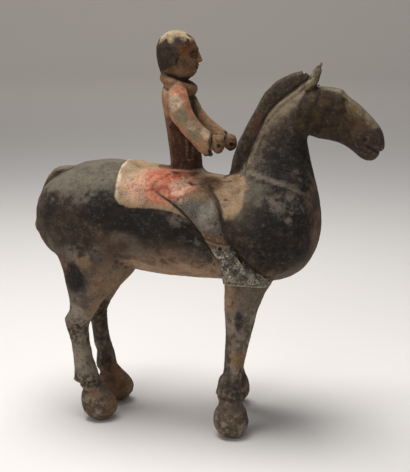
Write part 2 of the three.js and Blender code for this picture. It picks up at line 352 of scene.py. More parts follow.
def kneadedClay():
    # the solid's own shape, remade in small even faces so that it can be modelled
    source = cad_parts["horse_and_rider"]
    mesh = source.data.copy()
    lump = bpy.data.objects.new("clayLump", mesh)
    bpy.context.scene.collection.objects.link(lump)
    remesh = lump.modifiers.new("evenFaces", "REMESH")
    remesh.mode = "VOXEL"
    remesh.voxel_size = clayBody["voxel"]
    remesh.adaptivity = 0.0
    graph = bpy.context.evaluated_depsgraph_get()
    made = bpy.data.meshes.new_from_object(lump.evaluated_get(graph))
    bpy.data.objects.remove(lump)
    made.name = clayBody["name"]
    finerFaces(made)
    clay = Clay(made)
    weight = softness(clay.p)
    for _ in range(clayBody["spreading"]):
        weight = neighbourMean(weight[:, None], clay.edges, clay.degree)[:, 0]
    before = clay.p.copy()
    clay.relax(weight, clayBody["smoothing"])
    # what smoothing takes from thin round forms is mostly given back
    lost = ((before - clay.p) * clay.n).sum(1)
    for _ in range(clayBody["givenEvenly"]):
        lost = neighbourMean(lost[:, None], clay.edges, clay.degree)[:, 0]
    clay.push(np.clip(lost, -clayBody["givenBack"], clayBody["givenBack"]))
    clay.p[:, 2] = np.maximum(clay.p[:, 2], 0.0)
    print("clay kneaded,", len(made.vertices), "points")
    return clay


horseFace = {
    "eye": (111.5, 280.0),
    "eyeTurn": -28.0,
    "noseEdge": [(123.5, 264), (122.5, 272), (120, 280), (117.5, 287), (115.5, 294)],
    "jawHollow": [(100, 262), (112, 258), (122, 255)],
    "nostril": (134.3, 255.0),
    "lips": [(136.5, 249.5), (141, 247), (146, 244), (152, 241.5)],
}

horseEar = {
    "heights": [297, 301, 305, 309, 313.5, 317],
    "middle": [89.5, 90.2, 91.3, 92.6, 94.3, 95.3],
    "broader": [0.0, 0.3, 0.45, 0.9, 0.8, 0.0],
    "forward": [0.4, 1.5, 1.9, 2.7, 2.5, 2.6],
}


def turned(q, centre, degrees):
    a = math.radians(degrees)
    d = q - np.array(centre)
    return d[:, 0] * math.cos(a) + d[:, 1] * math.sin(a), -d[:, 0] * math.sin(a) + d[:, 1] * math.cos(a)


def modelHorseHead(clay):
    p, n = clay.p, clay.n
    q = side(p)
    flank = ease((np.abs(n[:, 1]) - 0.25) / 0.3) * horseHeadPart(p)
    amount = np.zeros(len(p))
    # lids round a full eye in a shallow socket
    u, v = turned(q, horseFace["eye"], horseFace["eyeTurn"])
    socket = np.sqrt((u / 6.5) ** 2 + (v / 4.2) ** 2)
    ball = np.sqrt((u / 4.2) ** 2 + (v / 2.1) ** 2)
    amount += flank * (-0.5 * ease((1.3 - socket) / 0.9) + 0.6 * np.sqrt(np.clip(1.0 - ball**2, 0, 1)))
    amount += flank * 0.3 * bump(ball - 1.3, 0.22) * (v > -1.5)
    # the plane of the nose lies back from the cheek block along a crisp edge
    edgeX, edgeZ = zip(*horseFace["noseEdge"])
    ahead = q[:, 0] - np.interp(q[:, 1], edgeZ, edgeX)
    plane = ease((ahead + 0.6) / 2.6) * ease((20.0 - ahead) / 20.0)
    amount -= flank * 1.2 * plane * band(q[:, 1], 268, 298, 14)
    amount += flank * 0.15 * bump(ahead + 2.5, 3.0) * band(q[:, 1], 272, 293, 8)
    # the forehead ends in a corner over the nose
    amount += 0.9 * bump(np.hypot(q[:, 0] - 113.0, q[:, 1] - 293.0), 4.5) * (np.abs(p[:, 1]) < 15)
    amount -= 0.6 * bump(np.hypot(q[:, 0] - 122.0, q[:, 1] - 287.5), 4.5) * (np.abs(p[:, 1]) < 15)
    # hollow between the jaw's bone and the cheek, and the cheek's hind border
    hollow, _ = strokeDistance(q, horseFace["jawHollow"])
    amount -= flank * 0.5 * bump(hollow, 4.5)
    rim, _ = strokeDistance(q, [(86, 291), (79.5, 282), (77, 273), (79.5, 264), (87, 257.5)])
    amount -= 0.3 * bump(rim, 2.4) * ease((np.abs(p[:, 1]) - 6) / 4)
    # nostril rim, lips and chin
    wing = np.hypot(*(q - np.array(horseFace["nostril"])).T)
    amount += flank * (0.15 * bump(wing - 3.0, 1.5) - 1.2 * bump(wing, 1.2))
    lips, _ = strokeDistance(q, horseFace["lips"])
    amount += flank * 0.2 * bump(lips - 2.6, 1.2)
    amount -= horseHeadPart(p) * 1.5 * bump(lips, 1.0)
    clay.push(amount)
    p = clay.p
    # the ear is scooped out in front
    scoop = inside(p, (94.5, -8.3, 306), (3.5, 2.0, 8.5), 0.6) * ease((clay.n[:, 0] - 0.3) / 0.3)
    clay.p[:, 0] -= 1.0 * scoop
    # it pricks forward and is broadest half way up
    x, y, z = p.T
    onEar = ease((z - 295.0) / 6.0) * ease((-3.0 - y) / 2.0) * ease((x - 84.0) / 3.0)
    onEar = onEar * (1 - ease(maneDepth(p) + 1.5))
    middle, broader, forward = (
        np.interp(z, horseEar["heights"], horseEar[name]) for name in ("middle", "broader", "forward")
    )
    clay.p[:, 0] += onEar * ((x - middle) * broader + forward)
    # a rough break where the other ear was
    stump = inside(p, (91, 7.5, 297.5), (6.5, 5.5, 4.5), 0.4)
    clay.p[:, 2] += stump * (0.9 * roughly(p, 2.6, 71) - 0.3)
    clay.store()
    print("horse's head modelled")


def maneStroke(p, away, along):
    # long strokes from -1 to 1, along the crest
    drawn = np.stack([along * 9.0 + 0.02 * away, away / 1.5, p[:, 1] * 0.25], 1)
    return 0.7 * mottle(drawn, 1.0, 5) + 0.5 * mottle(drawn * np.array([2.3, 1.7, 1.0]), 1.0, 6)


def modelMane(clay):
    p, n = clay.p, clay.n
    q = side(p)
    away, along = strokeDistance(q, maneFoot)
    near = ease((17.0 - np.abs(p[:, 1])) / 5.0) * ease((np.abs(n[:, 1]) - 0.15) / 0.3)
    near = near * ease((q[:, 1] - 226) / 6)
    within = maneDepth(p) > 0
    amount = -1.0 * bump(away, 1.1) * near
    amount += 0.75 * bump(away - 2.8, 1.5) * near * np.where(within, 0.0, 1.0)
    # hair drawn in fine shallow strokes that follow the crest
    amount += within * 0.16 * maneStroke(p, away, along) * ease((np.abs(n[:, 1]) - 0.3) / 0.3)
    amount += within * 0.22 * roughly(p, 9.0, 9)
    # a flake is gone from its upper end
    amount -= 1.2 * inside(p, (84.5, -4, 310), (3.2, 4, 2.4), 0.5)
    clay.push(amount)
    print("mane modelled")


legMarks = {
    "coronet": 27.0,
    "roughBands": [
        (-106, -27, 82, 13.0),
        (-100, -25, 38, 8.0),
        (30, -38, 38, 8.0),
        (-103, 28, 86, 14.0),
        (18, 38, 36, 7.0),
    ],
}


def crustPart(p, x, y, z, reach):
    slope = p[:, 2] + 0.12 * (p[:, 0] - x)
    return band(slope, z - reach * 0.7, z + reach * 0.7, reach) * (np.hypot(p[:, 0] - x, p[:, 1] - y) < 22)


def modelLegs(clay):
    p, n = clay.p, clay.n
    x, y, z = p.T
    hind = x < -60
    back = np.where(y > 0, 8.0, 0.0)  # the left fore leg stands this much further back
    low = ease((124.0 - z) / 10.0)
    amount = np.zeros(len(p))
    # the groove round the top of each hoof
    wave = legMarks["coronet"] + 1.2 * mottle(p, 16.0, 21)
    heel = ease((np.where(hind, -97.0, 27.0) - back * (x > 0) - x) / 9.0 + 0.5)
    amount -= (0.12 + 0.5 * heel) * bump(z - wave, 1.8) * low
    # each hoof is a little flattened on its outer wall and dented above the sole
    amount += low * (0.5 * mottle(p, 13.0, 23) + 0.25 * mottle(p, 6.0, 24)) * ease((28.0 - z) / 6.0)
    amount -= low * 0.4 * bump(z - 5.5 - 1.5 * mottle(p, 10.0, 25), 1.6)
    # sinew lines down the sides of the cannons
    sinew = bump(x - np.where(hind, -106.5, 30.0 - back), 2.2)
    amount -= 0.45 * sinew * band(z, 46, 84, 14) * ease((np.abs(n[:, 1]) - 0.4) / 0.3)
    # thick crusts of grit that the burial left
    for patch in legMarks["roughBands"]:
        amount += crustPart(p, *patch) * (0.6 * roughly(p, 3.6, 33) + 0.3 * mottle(p, 1.9, 35))
    # stifle and elbow folds
    fold, _ = strokeDistance(side(p), [(-60, 140), (-66, 152), (-76, 163), (-90, 170)])
    amount -= 0.55 * bump(fold, 7.0) * (np.abs(y) > 24)
    elbow, _ = strokeDistance(side(p), [(22, 141), (20, 152), (24, 162)])
    amount -= 0.6 * bump(elbow, 2.6) * (np.abs(y) > 26)
    clay.push(amount)
    # behind, the right hind fetlock ends in a small ledge, and the left fetlocks are slimmer
    x, y, z = clay.p.T
    behind = ease((-clay.n[:, 0] - 0.1) / 0.4)
    rightHind = behind * (x < -92) * (y < 0)
    ledge = ease((z - 35.5) / 0.9 + 0.5) * ease((37.5 - z) / 3.2 + 0.5)
    clay.p[:, 0] += rightHind * (2.0 * band(z, 32.0, 34.6, 1.5) - 1.5 * ledge)
    leftHind = behind * (x < -92) * (y > 0)
    clay.p[:, 0] += leftHind * (1.6 * band(z, 36, 90, 12) + 2.4 * band(z, 34, 50, 7))
    clay.p[:, 0] += behind * (x > 0) * (x < 24) * (y > 0) * 3.2 * band(z, 34, 52, 7)
    clay.store()
    print("legs modelled")


def modelBody(clay):
    p = clay.p
    amount = np.zeros(len(p))
    # the saddle cloth lies on the back as a thin skin with a firm hem
    depth = outlineDepth(side(p) + 0.5 * mottle(p, 7.0, 41)[:, None], clothHem)
    bare = (1 - ease((riderLegDepth(p) + 1.0) / 1.5)) * (1 - riderPart(p))
    cloth = ease(depth / 1.3 + 0.5) * (p[:, 2] > 178) * bare
    rear = ease((10.0 - p[:, 0]) / 30.0)
    amount += (0.1 + 0.4 * rear) * cloth
    # the crease where the rider's leg is laid on the horse
    for path, deep in ((legRear, 1.25), (legFront, 0.8)):
        away, along = strokeDistance(legSide(p), path)
        groove = ease(along * 5.0) * bump(away, 1.5)
        amount -= deep * groove * ease((np.abs(p[:, 1]) - 18.0) / 6.0) * (p[:, 2] > 138)
    # two shallow runs beside the tail and a groove down its middle
    tailBack = [(-120, 219), (-131, 217), (-138, 210), (-145, 196), (-149, 180), (-151, 166)]
    tail, _ = strokeDistance(side(p), tailBack)
    amount -= 0.9 * bump(np.abs(p[:, 1]) - 7.0, 1.8) * (p[:, 0] < -112) * (tail < 12)
    amount -= 0.4 * bump(p[:, 1], 1.0) * (p[:, 0] < -122) * (tail < 9)
    # the shoulder's upper edge stands out a little below the neck
    edgeX, edgeZ = zip(*shoulderEdge)
    under = np.interp(p[:, 0], edgeX, edgeZ) - p[:, 2]
    outer = (np.abs(p[:, 1]) > 10) * band(p[:, 0], 40, 92, 10)
    ridge = 0.5 * bump(under - 1.5, 2.0) - 0.5 * bump(under + 2.6, 2.6)
    amount += outer * ridge * (0.6 + 0.5 * mottle(p, 11.0, 27))
    # hollow of the flank, and the breast's two muscles
    for y in (-44, 44):
        amount -= 1.1 * inside(p, (-52, y, 165), (20, 14, 22), 1.0)
        amount += 0.9 * inside(p, (58, y, 178), (24, 12, 30), 1.0)
    amount -= 0.8 * bump(p[:, 1], 3.5) * band(p[:, 2], 150, 196, 26) * (p[:, 0] > 84)
    clay.push(amount)
    print("barrel and saddle cloth modelled")


riderHead = {
    "centre": -23.0,
    "eyes": (6.1, 320.6),
    "browHeight": 324.6,
    "noseHeight": 315.0,
    "mouth": (4.3, 310.4),
    "chin": 304.6,
    "hairline": [
        (-4, 331.5), (-9, 330), (-14, 326.5), (-17.5, 321), (-20, 316), (-25, 312), (-31, 308), (-42, 306),
    ],
}


def aboveHairline(p):
    edgeX, edgeZ = zip(*reversed(riderHead["hairline"]))
    return p[:, 2] - np.interp(p[:, 0], edgeX, edgeZ)


def modelRiderHead(clay):
    p, n = clay.p, clay.n
    x, y, z = p.T
    ay = np.abs(y)
    head = ease((z - 300.5) / 2.0) * (x < 12)
    face = head * ease((n[:, 0] - 0.05) / 0.45) * (x > riderHead["centre"] + 4)
    forward = np.zeros(len(p))
    # brow, sockets, full lids with a fine slit between them
    eyeY, eyeZ = riderHead["eyes"]
    across, rise = (ay - eyeY) / 3.5, z - eyeZ
    socket = np.sqrt(((ay - eyeY) / 5.4) ** 2 + (rise / 3.6) ** 2)
    forward -= 1.1 * ease((1.3 - socket) / 1.0)
    lid = np.sqrt(across**2 + (rise / 2.0) ** 2)
    forward += 1.5 * np.sqrt(np.clip(1.0 - lid**2, 0, 1))
    slit = rise + 0.55 - 0.75 * (1.0 - across**2) * (across**2 < 1)
    forward -= 0.75 * bump(slit + 0.3, 0.42) * (np.abs(across) < 0.98)
    forward += 0.3 * bump(slit - 0.55, 0.4) * (np.abs(across) < 1.0)
    forward -= 0.3 * bump(lid - 1.22, 0.16) * (rise > 0)
    arch = z - (riderHead["browHeight"] + 0.6 - 0.05 * (ay - eyeY) ** 2)
    forward += 0.7 * bump(arch, 1.2) * band(ay, 2.0, 10.8, 2.0)
    # nose: narrow bridge, rounded tip, two wings with their nostrils
    base = riderHead["noseHeight"]
    t = ease((324.0 - z) / (324.0 - base))
    forward += (0.75 + 0.75 * t) * bump(y, 1.5 + 0.9 * t) * band(z, base - 0.7, 324.5, 1.5)
    forward += 0.95 * bump(np.hypot(ay - 2.5, z - base - 0.9), 1.25)
    forward -= 0.5 * bump(np.hypot(ay - 1.3, z - base + 0.5), 0.6)
    forward -= 0.3 * bump(ay - 4.0 - 0.5 * (base - z), 0.8) * band(z, 311.0, 316.0, 1.5)
    # lips, the dip over them, the corners of the mouth and the chin
    mouthWidth, mouthZ = riderHead["mouth"]
    sides = ease((mouthWidth + 0.7 - ay) / 2.8)
    line = z - (mouthZ + 0.03 * ay**2)
    bow = 1.15 - 0.25 * bump(y, 0.8)
    forward += sides * (0.85 * bump(line - bow, 0.8) + 0.95 * bump(line + 1.2, 0.95) - 0.8 * bump(line, 0.42))
    forward -= 0.35 * bump(np.hypot(ay - mouthWidth, line), 0.8)
    forward -= 0.35 * bump(y, 0.8) * band(z, 312.0, 314.2, 0.8)
    forward -= 0.35 * bump(line + 3.2, 0.9) * ease((5.0 - ay) / 3.0)
    forward += 0.8 * inside(p, (-8, 0, riderHead["chin"]), (6, 4.6, 3.4), 0.8)
    forward += 0.6 * bump(np.hypot(ay - 8.5, z - 314.5), 3.8)
    clay.p[:, 0] += forward * face
    clay.store()
    p, n = clay.p, clay.n
    x, y, z = p.T
    # hair lies over the head with a firm edge and combed strokes; the ears stand clear of it
    over = aboveHairline(p)
    ears = inside(p, (-24, 0, 318.5), (4.4, 24, 6.0), 0.3) * (np.abs(y) > 11)
    hair = ease(over / 0.8 + 0.5) * (z > 303) * (x < 12) * (1 - ears)
    comb = np.sin(np.arctan2(y, x - riderHead["centre"]) * 34.0 + 2.0 * mottle(p, 8.0, 52))
    amount = hair * (0.32 + 0.06 * comb)
    # each ear has a rounded rim, a shell-shaped hollow and a lobe
    rim = np.hypot((x + 24.0) / 3.1, (z - 319.0) / 4.6)
    lobe = np.hypot(x + 22.6, z - 314.2)
    amount += ears * (1.5 * bump(rim - 1.0, 0.28) - 0.9 * bump(rim, 0.5) + 0.9 * bump(lobe, 1.4))
    clay.push(amount)
    print("rider's head modelled")


robe = {
    "collarTilt": 0.38,
    "rightHand": (15.5, -20.0, 249.0),
    "leftHand": (18.5, 20.0, 245.0),
}


def collarPlace(p):
    # how far out from the neck's middle, and how high over the collar's tilted plane
    x, y, z = p.T
    tilt = robe["collarTilt"]
    return np.hypot(x + 22.5, y), (z - 296.5) * math.cos(tilt) + (x + 22.5) * math.sin(tilt)


def reinHole(d):
    # distance from the hole through a fist, from places measured from the fist's middle
    return np.hypot(d[:, 0] - 1.5, d[:, 2] + 1.0)


def modelRiderDress(clay):
    p, n = clay.p, clay.n
    rider = riderPart(p)
    x, y, z = p.T
    amount = np.zeros(len(p))
    # the collar is a thick roll of two turns, split a little on the right
    roll, lift = collarPlace(p)
    ring = band(roll, 9.5, 18.5, 2.0) * band(lift, -4.5, 4.5, 1.5) * rider
    amount += ring * (0.2 + 0.7 * np.sqrt(np.clip(1.0 - (lift / 4.8) ** 2, 0, 1)))
    amount -= 0.14 * bump(lift + 0.4, 0.8) * ring
    amount -= 0.8 * inside(p, (-20, -15, 301), (2.6, 2.6, 2.2), 0.8)
    amount -= 0.6 * bump(lift + 6.2, 1.2) * band(roll, 8.0, 20.0, 2.0) * rider
    # deep shadowed gap between the collar and the neck
    amount -= 0.9 * bump(lift - 5.0, 1.2) * band(roll, 6.0, 13.0, 3.0) * (z > 292) * (z < 309)
    # the robe closes to its right under the collar
    lapel, _ = strokeDistance(p[:, 1:], [(3, 290), (-5, 272), (-12, 252), (-14, 236)])
    amount -= 0.5 * bump(lapel, 1.0) * (n[:, 0] > 0.3) * rider * (z < 290)
    amount += 0.3 * bump(lapel - 2.0, 1.2) * (n[:, 0] > 0.3) * rider * (z < 290) * (y > -16)
    # the sleeve is pulled into folds at the elbow and slack under the arm
    arm = rider * armPart(p)
    along = (x + 33) * 0.62 + (300 - z) * 0.78
    creases = np.sin(along * 0.62 + 0.16 * (z - 260) + 2.2 * mottle(p, 12.0, 61))
    amount += arm * 0.2 * creases * band(along, 20, 44, 14)
    # a groove all round where the arm lies on the body
    amount -= 0.35 * bump(armDistance(p) - 10.8, 1.3) * rider * (np.abs(y) > 10)
    # cuffs are open all round the wrist, and the right one has lost its lower edge
    for hand in (robe["rightHand"], robe["leftHand"]):
        d = p - np.array(hand)
        facing = ease((n[:, 0] - 0.35) / 0.3)
        ringed = np.hypot(d[:, 1], d[:, 2] * 0.8)
        mouth = facing * band(d[:, 0], -9.5, -2.5, 1.5) * band(ringed, 4.8, 7.2, 1.0)
        amount -= 1.6 * mouth
        torn = inside(d, (-6.0, 0, -11.0), (6.5, 9.0, 4.5), 0.5)
        amount += torn * (0.5 + 2.1 * roughly(p, 2.8, 63))
        # fingers curled round the lost reins
        fist = inside(p, hand, (7.6, 7.6, 10.2), 0.25) * ease((d[:, 0] + 1.0) / 2.0)
        for offset in (-2.9, 0.0, 2.9):
            amount -= fist * 0.42 * bump(d[:, 1] - offset, 0.7)
        amount -= fist * 0.35 * bump(d[:, 2] - 2.6, 0.8)
        amount -= 1.2 * bump(reinHole(d), 1.5) * (np.abs(d[:, 1]) > 3) * (np.abs(d[:, 1]) < 8)
    clay.push(amount)
    print("rider's dress modelled")


def calfHole(p):
    return np.hypot(p[:, 0] - 24.0, p[:, 2] - 168.5)


def modelRiderLegs(clay):
    p, n = clay.p, clay.n
    leg = ease(riderLegDepth(p) / 1.0 + 0.5)
    x, z = legSide(p).T
    amount = np.zeros(len(p))
    # trouser edge at the boot, the boot's sole line and its seam
    rim = z - (bootTop - 0.25 * (x - 22))
    amount += leg * 0.5 * bump(rim, 1.0) * (z > 160)
    amount -= leg * 0.35 * bump(rim - 1.8, 0.8)
    amount -= leg * 0.5 * bump(z - 140.2, 0.7)
    amount += leg * 0.3 * bump(z - 138.4, 0.9)
    seam, _ = strokeDistance(legSide(p), [(24, 168), (32, 158), (40, 149), (52, 143.5)])
    amount -= leg * 0.3 * bump(seam, 0.7)
    # cloth pulled over the knee
    folds = np.sin((z - 0.5 * x) * 0.55 + 1.4 * mottle(p, 10.0, 67))
    amount += leg * 0.12 * folds * band(z, 176, 207, 10)
    # a small hole with a raised rim in the right calf
    hole = calfHole(p)
    pierced = 0.7 * bump(hole - 2.3, 0.8) - 2.2 * bump(hole, 1.1)
    amount += (p[:, 1] < -40) * pierced * ease((np.abs(n[:, 1]) - 0.3) / 0.3)
    clay.push(amount)
    print("rider's legs modelled")


surface = {
    "thumbed": 0.34,  # slow waves left by the hand, in millimetres
    "scraped": 0.10,
    "gritty": 0.11,
    "pitted": 0.5,
}


def ageSurface(clay):
    p = clay.p
    fine = 1.0 - 0.75 * np.maximum((p[:, 2] > 299) * (p[:, 0] < 12), 0.6 * horseHeadPart(p))
    amount = surface["thumbed"] * fine * (0.7 * mottle(p, 21.0, 81) + 0.45 * mottle(p, 9.5, 82))
    strokes = mottle(p * np.array([0.35, 1.0, 1.0]), 2.4, 83)
    amount += surface["scraped"] * fine * strokes
    amount += surface["gritty"] * fine * (mottle(p, 2.6, 84) + 0.6 * mottle(p, 1.5, 85))
    pits = ease((mottle(p, 4.2, 86) - 0.62) / 0.3) * ease((mottle(p, 30.0, 87) + 0.35) / 0.5)
    amount -= surface["pitted"] * pits * fine
    # edges are rubbed and nicked
    edge = ease((-clay.hollowness(8) - 0.12) / 0.35)
    amount -= 0.35 * edge * ease((mottle(p, 5.0, 88) - 0.15) / 0.4) * fine
    clay.push(amount)
    clay.p[:, 2] = np.maximum(clay.p[:, 2], 0.0)
    clay.store()
    print("surface aged")


# single patches of paint and wear: how strong, centre, radii and softness
paintSpots = {
    "blackest": [
        (1.0, (-64, -46, 196), (34, 18, 18), 1.0),
        (1.0, (-22, -46, 181), (36, 18, 10), 1.2),
        (0.5, (6, -44, 166), (18, 18, 12), 1.2),
        (1.0, (74, -40, 180), (28, 30, 34), 1.0),
        (1.0, (82, -20, 236), (24, 26, 26), 1.0),
        (0.7, (66, -24, 228), (20, 26, 12), 1.0),
        (0.8, (-128, -30, 196), (12, 20, 26), 1.0),
        (0.9, (-106, -38, 134), (12, 20, 16), 1.0),
        (1.0, (-40, 46, 186), (58, 18, 22), 1.0),
        (1.0, (74, 40, 186), (28, 26, 34), 1.0),
        (0.8, (-104, 40, 150), (22, 20, 20), 1.0),
    ],
    "scuffed": [
        (1.0, (60, -42, 209), (19, 18, 8), 1.0),
        (0.8, (78, -40, 197), (12, 18, 9), 1.0),
        (0.8, (-13, -44, 187), (9, 18, 6), 1.0),
        (0.5, (0, -44, 167), (8, 18, 8), 1.0),
        (0.7, (-112, -36, 208), (26, 20, 10), 1.0),
        (0.7, (-104, -38, 156), (16, 20, 9), 1.0),
        (0.7, (-60, 44, 200), (34, 20, 16), 1.0),
        (0.6, (66, 40, 170), (26, 22, 20), 1.0),
    ],
    "ochre": [(0.8, (124, -13, 280), (5, 8, 4.5), 1.2), (0.6, (124, 13, 276), (6, 8, 5), 1.0)],
    "maneRed": [(0.8, (46, -6, 262), (7, 10, 12), 1.0)],
    "chalk": [(1.0, (84, -5, 308.8), (2.4, 5, 2.4), 0.6)],
    "legBlue": [
        (1.0, (38.5, -48, 105), (3.6, 14, 9), 1.2),
        (0.5, (33, -44, 42), (10, 16, 8), 1.0),
        (0.55, (34, -50, 12), (7, 12, 8), 1.2),
    ],
    "legRust": [
        (0.8, (38, -46, 71), (8, 13, 7), 1.0),
        (0.55, (-116, -30, 142), (8, 16, 8), 1.0),
        (0.25, (-76, -38, 134), (9, 20, 22), 1.0),
        (0.5, (36, 44, 84), (9, 13, 12), 1.0),
    ],
    "hoofWarm": [
        (1.0, (-88, 26, 18), (20, 18, 20), 0.8),
        (0.5, (-76, -24, 14), (8, 18, 14), 1.0),
        (0.25, (20, 40, 16), (20, 18, 18), 1.0),
    ],
    "instep": [(1.0, (34, -46, 146), (12, 16, 4.5), 1.0), (1.0, (31, 46, 143), (12, 16, 4.5), 1.0)],
    "thighTan": [(0.6, (-95, -42, 149), (10, 14, 8), 1.2), (0.6, (-88, -36, 124), (9, 14, 7), 1.2)],
    "vermilion": [(1.0, (-28, -26, 214), (25, 28, 14), 0.9), (0.6, (-22, 22, 212), (20, 26, 12), 1.0)],
    "seatChalk": [(0.75, (-14, -26, 214), (10, 26, 7), 1.0), (0.6, (-52, -36, 214), (14, 26, 14), 1.0)],
    "saddleStain": [(1.0, (10, -26, 219), (10, 18, 9), 1.0), (0.6, (8, 24, 216), (12, 18, 9), 1.0)],
    "thighChalk": [(1.0, (12, -46, 193), (7, 14, 11), 1.0)],
    "sleeveChalk": [
        (1.0, (-19, -27, 283), (5.5, 12, 6.5), 0.9),
        (0.8, (7, -25, 259), (5, 12, 6), 0.9),
        (0.7, (-4, -27, 265), (5, 12, 5), 0.9),
    ],
}


def spots(p, name):
    total = np.zeros(len(p))
    for strength, centre, radii, soft in paintSpots[name]:
        total += strength * inside(p, centre, radii, soft)
    return np.clip(total, 0, 1)


class Places:
    # which part of the figure each point is on, and the slow and fine lumps that paint breaks up in
    def __init__(self, clay):
        self.clay, self.p, self.n, self.q = clay, clay.p, clay.n, side(clay.p)
        x, _, z = self.p.T
        self.rider = riderPart(self.p)
        self.head = ease((z - 302.0) / 1.5) * (x < 12)
        self.leg = ease((riderLegDepth(self.p) + 0.3) / 0.9)
        self.horse = (1 - self.rider) * (1 - self.leg) * (1 - self.head)
        self.horseHead, self.maneIn = horseHeadPart(self.p), maneDepth(self.p)
        self.slow, self.mid = roughly(self.p, 34.0, 101), roughly(self.p, 15.0, 105)
        self.small, self.fine = roughly(self.p, 6.0, 109), roughly(self.p, 3.4, 113)


def paintCloth(at, m):
    x, _, z = at.p.T
    depth = outlineDepth(at.q + 1.0 * at.mid[:, None], clothHem)
    # the hem is firm behind and faint in front
    fading = 2.5 + 7.0 * ease((x - 14) / 24) + 3.0 * ease((200 - z) / 12)
    cloth = ease(depth / fading + 0.5) * at.horse * (z > 178) * (1 - ease((at.maneIn + 2) / 2))
    m["cloth"] = cloth * (1 - 0.6 * ease((x - 36) / 10) * ease((z - 222) / 6))
    hem = ease((3.4 + 1.2 * at.small - depth) / 2.4)
    m["clothChalk"] = m["cloth"] * hem * ease((-50 - x) / 10.0 + 0.5) * ease((z - 200) / 6)
    earthy = ease((x - 4) / 16.0 + 0.3 * at.mid) + 0.8 * ease((192 + 5 * at.mid - z) / 8.0)
    m["clothEarth"] = m["cloth"] * np.clip(earthy, 0, 1)
    at.trunk = at.horse * (1 - m["cloth"])


def paintTrunk(at, m):
    p, mid, trunk = at.p, at.mid, at.trunk
    x, y, z = p.T
    # how much each point faces up, for painted light from above
    up = ease((at.n[:, 2] - 0.2 + 0.15 * mid) / 0.6)
    # the blue-black coat covers most of the trunk and neck and leaves the belly, loins and poll brown; on the
    # up-facing tops high on the trunk it gives way to painted light
    coat = ease((z - 136 + 7 * at.slow) / 30.0) * (1 - 0.9 * up * ease((z - 196) / 16) * ease((60 - x) / 20))
    bare = band(z, 108, 161 + 5 * at.slow, 26) * ease((x + 74) / 20) * ease((52 - x) / 30)
    bare = np.maximum(bare, 0.75 * inside(p, (-136, 0, 182), (16, 60, 34), 1.0) * ease(0.5 + mid))
    bare = np.maximum(bare, 0.7 * inside(p, (98, 0, 190), (14, 46, 46), 1.0) * ease(0.5 + mid))
    bare = np.maximum(bare, 0.5 * inside(p, (-70, -50, 168), (16, 18, 20), 1.0))
    neck = ease((x - 44) / 10) * ease((z - 216) / 8) * (1 - at.horseHead)
    inked = np.maximum(coat * (1 - bare), 0.95 * neck) * ease(0.85 + 0.7 * mid)
    m["inkBlue"] = trunk * (1 - at.horseHead) * np.clip(inked, 0, 1)
    m["blackest"] = trunk * spots(p, "blackest")
    m["brownEarth"] = trunk * np.clip(ease(0.3 + 0.8 * mid) + 0.7 * bare, 0, 1) * (z > 20)
    m["bellyTan"] = trunk * np.clip(bare * ease(0.8 + 0.6 * mid) * ease((160 + 4 * at.slow - z) / 18), 0, 1)
    m["scuffed"] = trunk * spots(p, "scuffed") * ease(0.5 + 0.9 * at.small)
    # painted highlight where the trunk faces up
    m["paintedTopLight"] = trunk * up * ease((z - 200) / 12) * (1 - 0.6 * ease(at.maneIn + 1))
    # a pale ridge runs down the neck beside the mane, and a painted highlight runs over the shoulder's upper
    # edge
    ridge, _ = strokeDistance(at.q, neckRidge)
    upper = trunk * (1 - ease(at.maneIn + 1)) * (np.abs(y) < 24)
    poll = 0.7 * ease((z - 280) / 12) * ease((94 - x) / 6)
    m["neckPale"] = np.clip(upper * (bump(ridge - 2.0, 5.0) * ease((z - 252) / 26) + poll), 0, 1)
    m["neckLine"] = np.clip(upper * bump(ridge, 1.6) * ease((z - 228) / 12) * 0.85, 0, 1)
    line, _ = strokeDistance(at.q, shoulderEdge)
    # how strongly the painted highlight shows, fading forward
    showing = (0.7 - 0.4 * ease((x - 60) / 25)) * (np.abs(y) > 8) * ease(0.9 + at.small)
    m["paintedShoulderHighlight"] = trunk * bump(line + 0.3, 1.7 + 0.8 * mid) * showing


def paintHorseHead(at, m):
    p, mid, small, horseHead = at.p, at.mid, at.small, at.horseHead
    x, _, z = p.T
    # a pale strip, narrow on the forehead, runs down the bridge of the nose to the dark muzzle
    flat = at.n[:, 2] + 0.3 * at.n[:, 0] - 0.08 - 0.78 * ease((122 - x) / 8) + 0.2 * mid + 0.12 * small
    cap = horseHead * ease(flat / 0.45) * at.trunk
    border = (264.5 - 0.24 * (145 - x) - z + 1.2 * small) / (3.0 + 6.0 * ease((146 - x) / 12))
    muzzle = ease(border + 0.5) * ease((x - 118 + 3 * mid) / 14.0)
    m["bridge"] = cap * (1 - muzzle)
    noseSide = ease((x - 116 - 0.2 * (280 - z) + 2 * mid) / 8.0)
    m["noseSide"] = horseHead * noseSide * (1 - muzzle) * (1 - 0.7 * cap)
    m["muzzle"] = horseHead * muzzle
    m["muzzleFlecks"] = m["muzzle"] * (0.42 + 0.2 * small)
    m["cheek"] = horseHead * ease((129 - x + 2 * mid) / 9.0) * (1 - cap)
    m["ochre"] = spots(p, "ochre")
    m["mane"] = ease((at.maneIn + 0.4) / 0.8)
    away, along = strokeDistance(at.q, maneFoot)
    m["maneStroke"] = m["mane"] * ease(0.5 + 0.9 * maneStroke(p, away, along))
    m["maneRed"] = m["mane"] * spots(p, "maneRed")
    m["chalk"] = spots(p, "chalk")


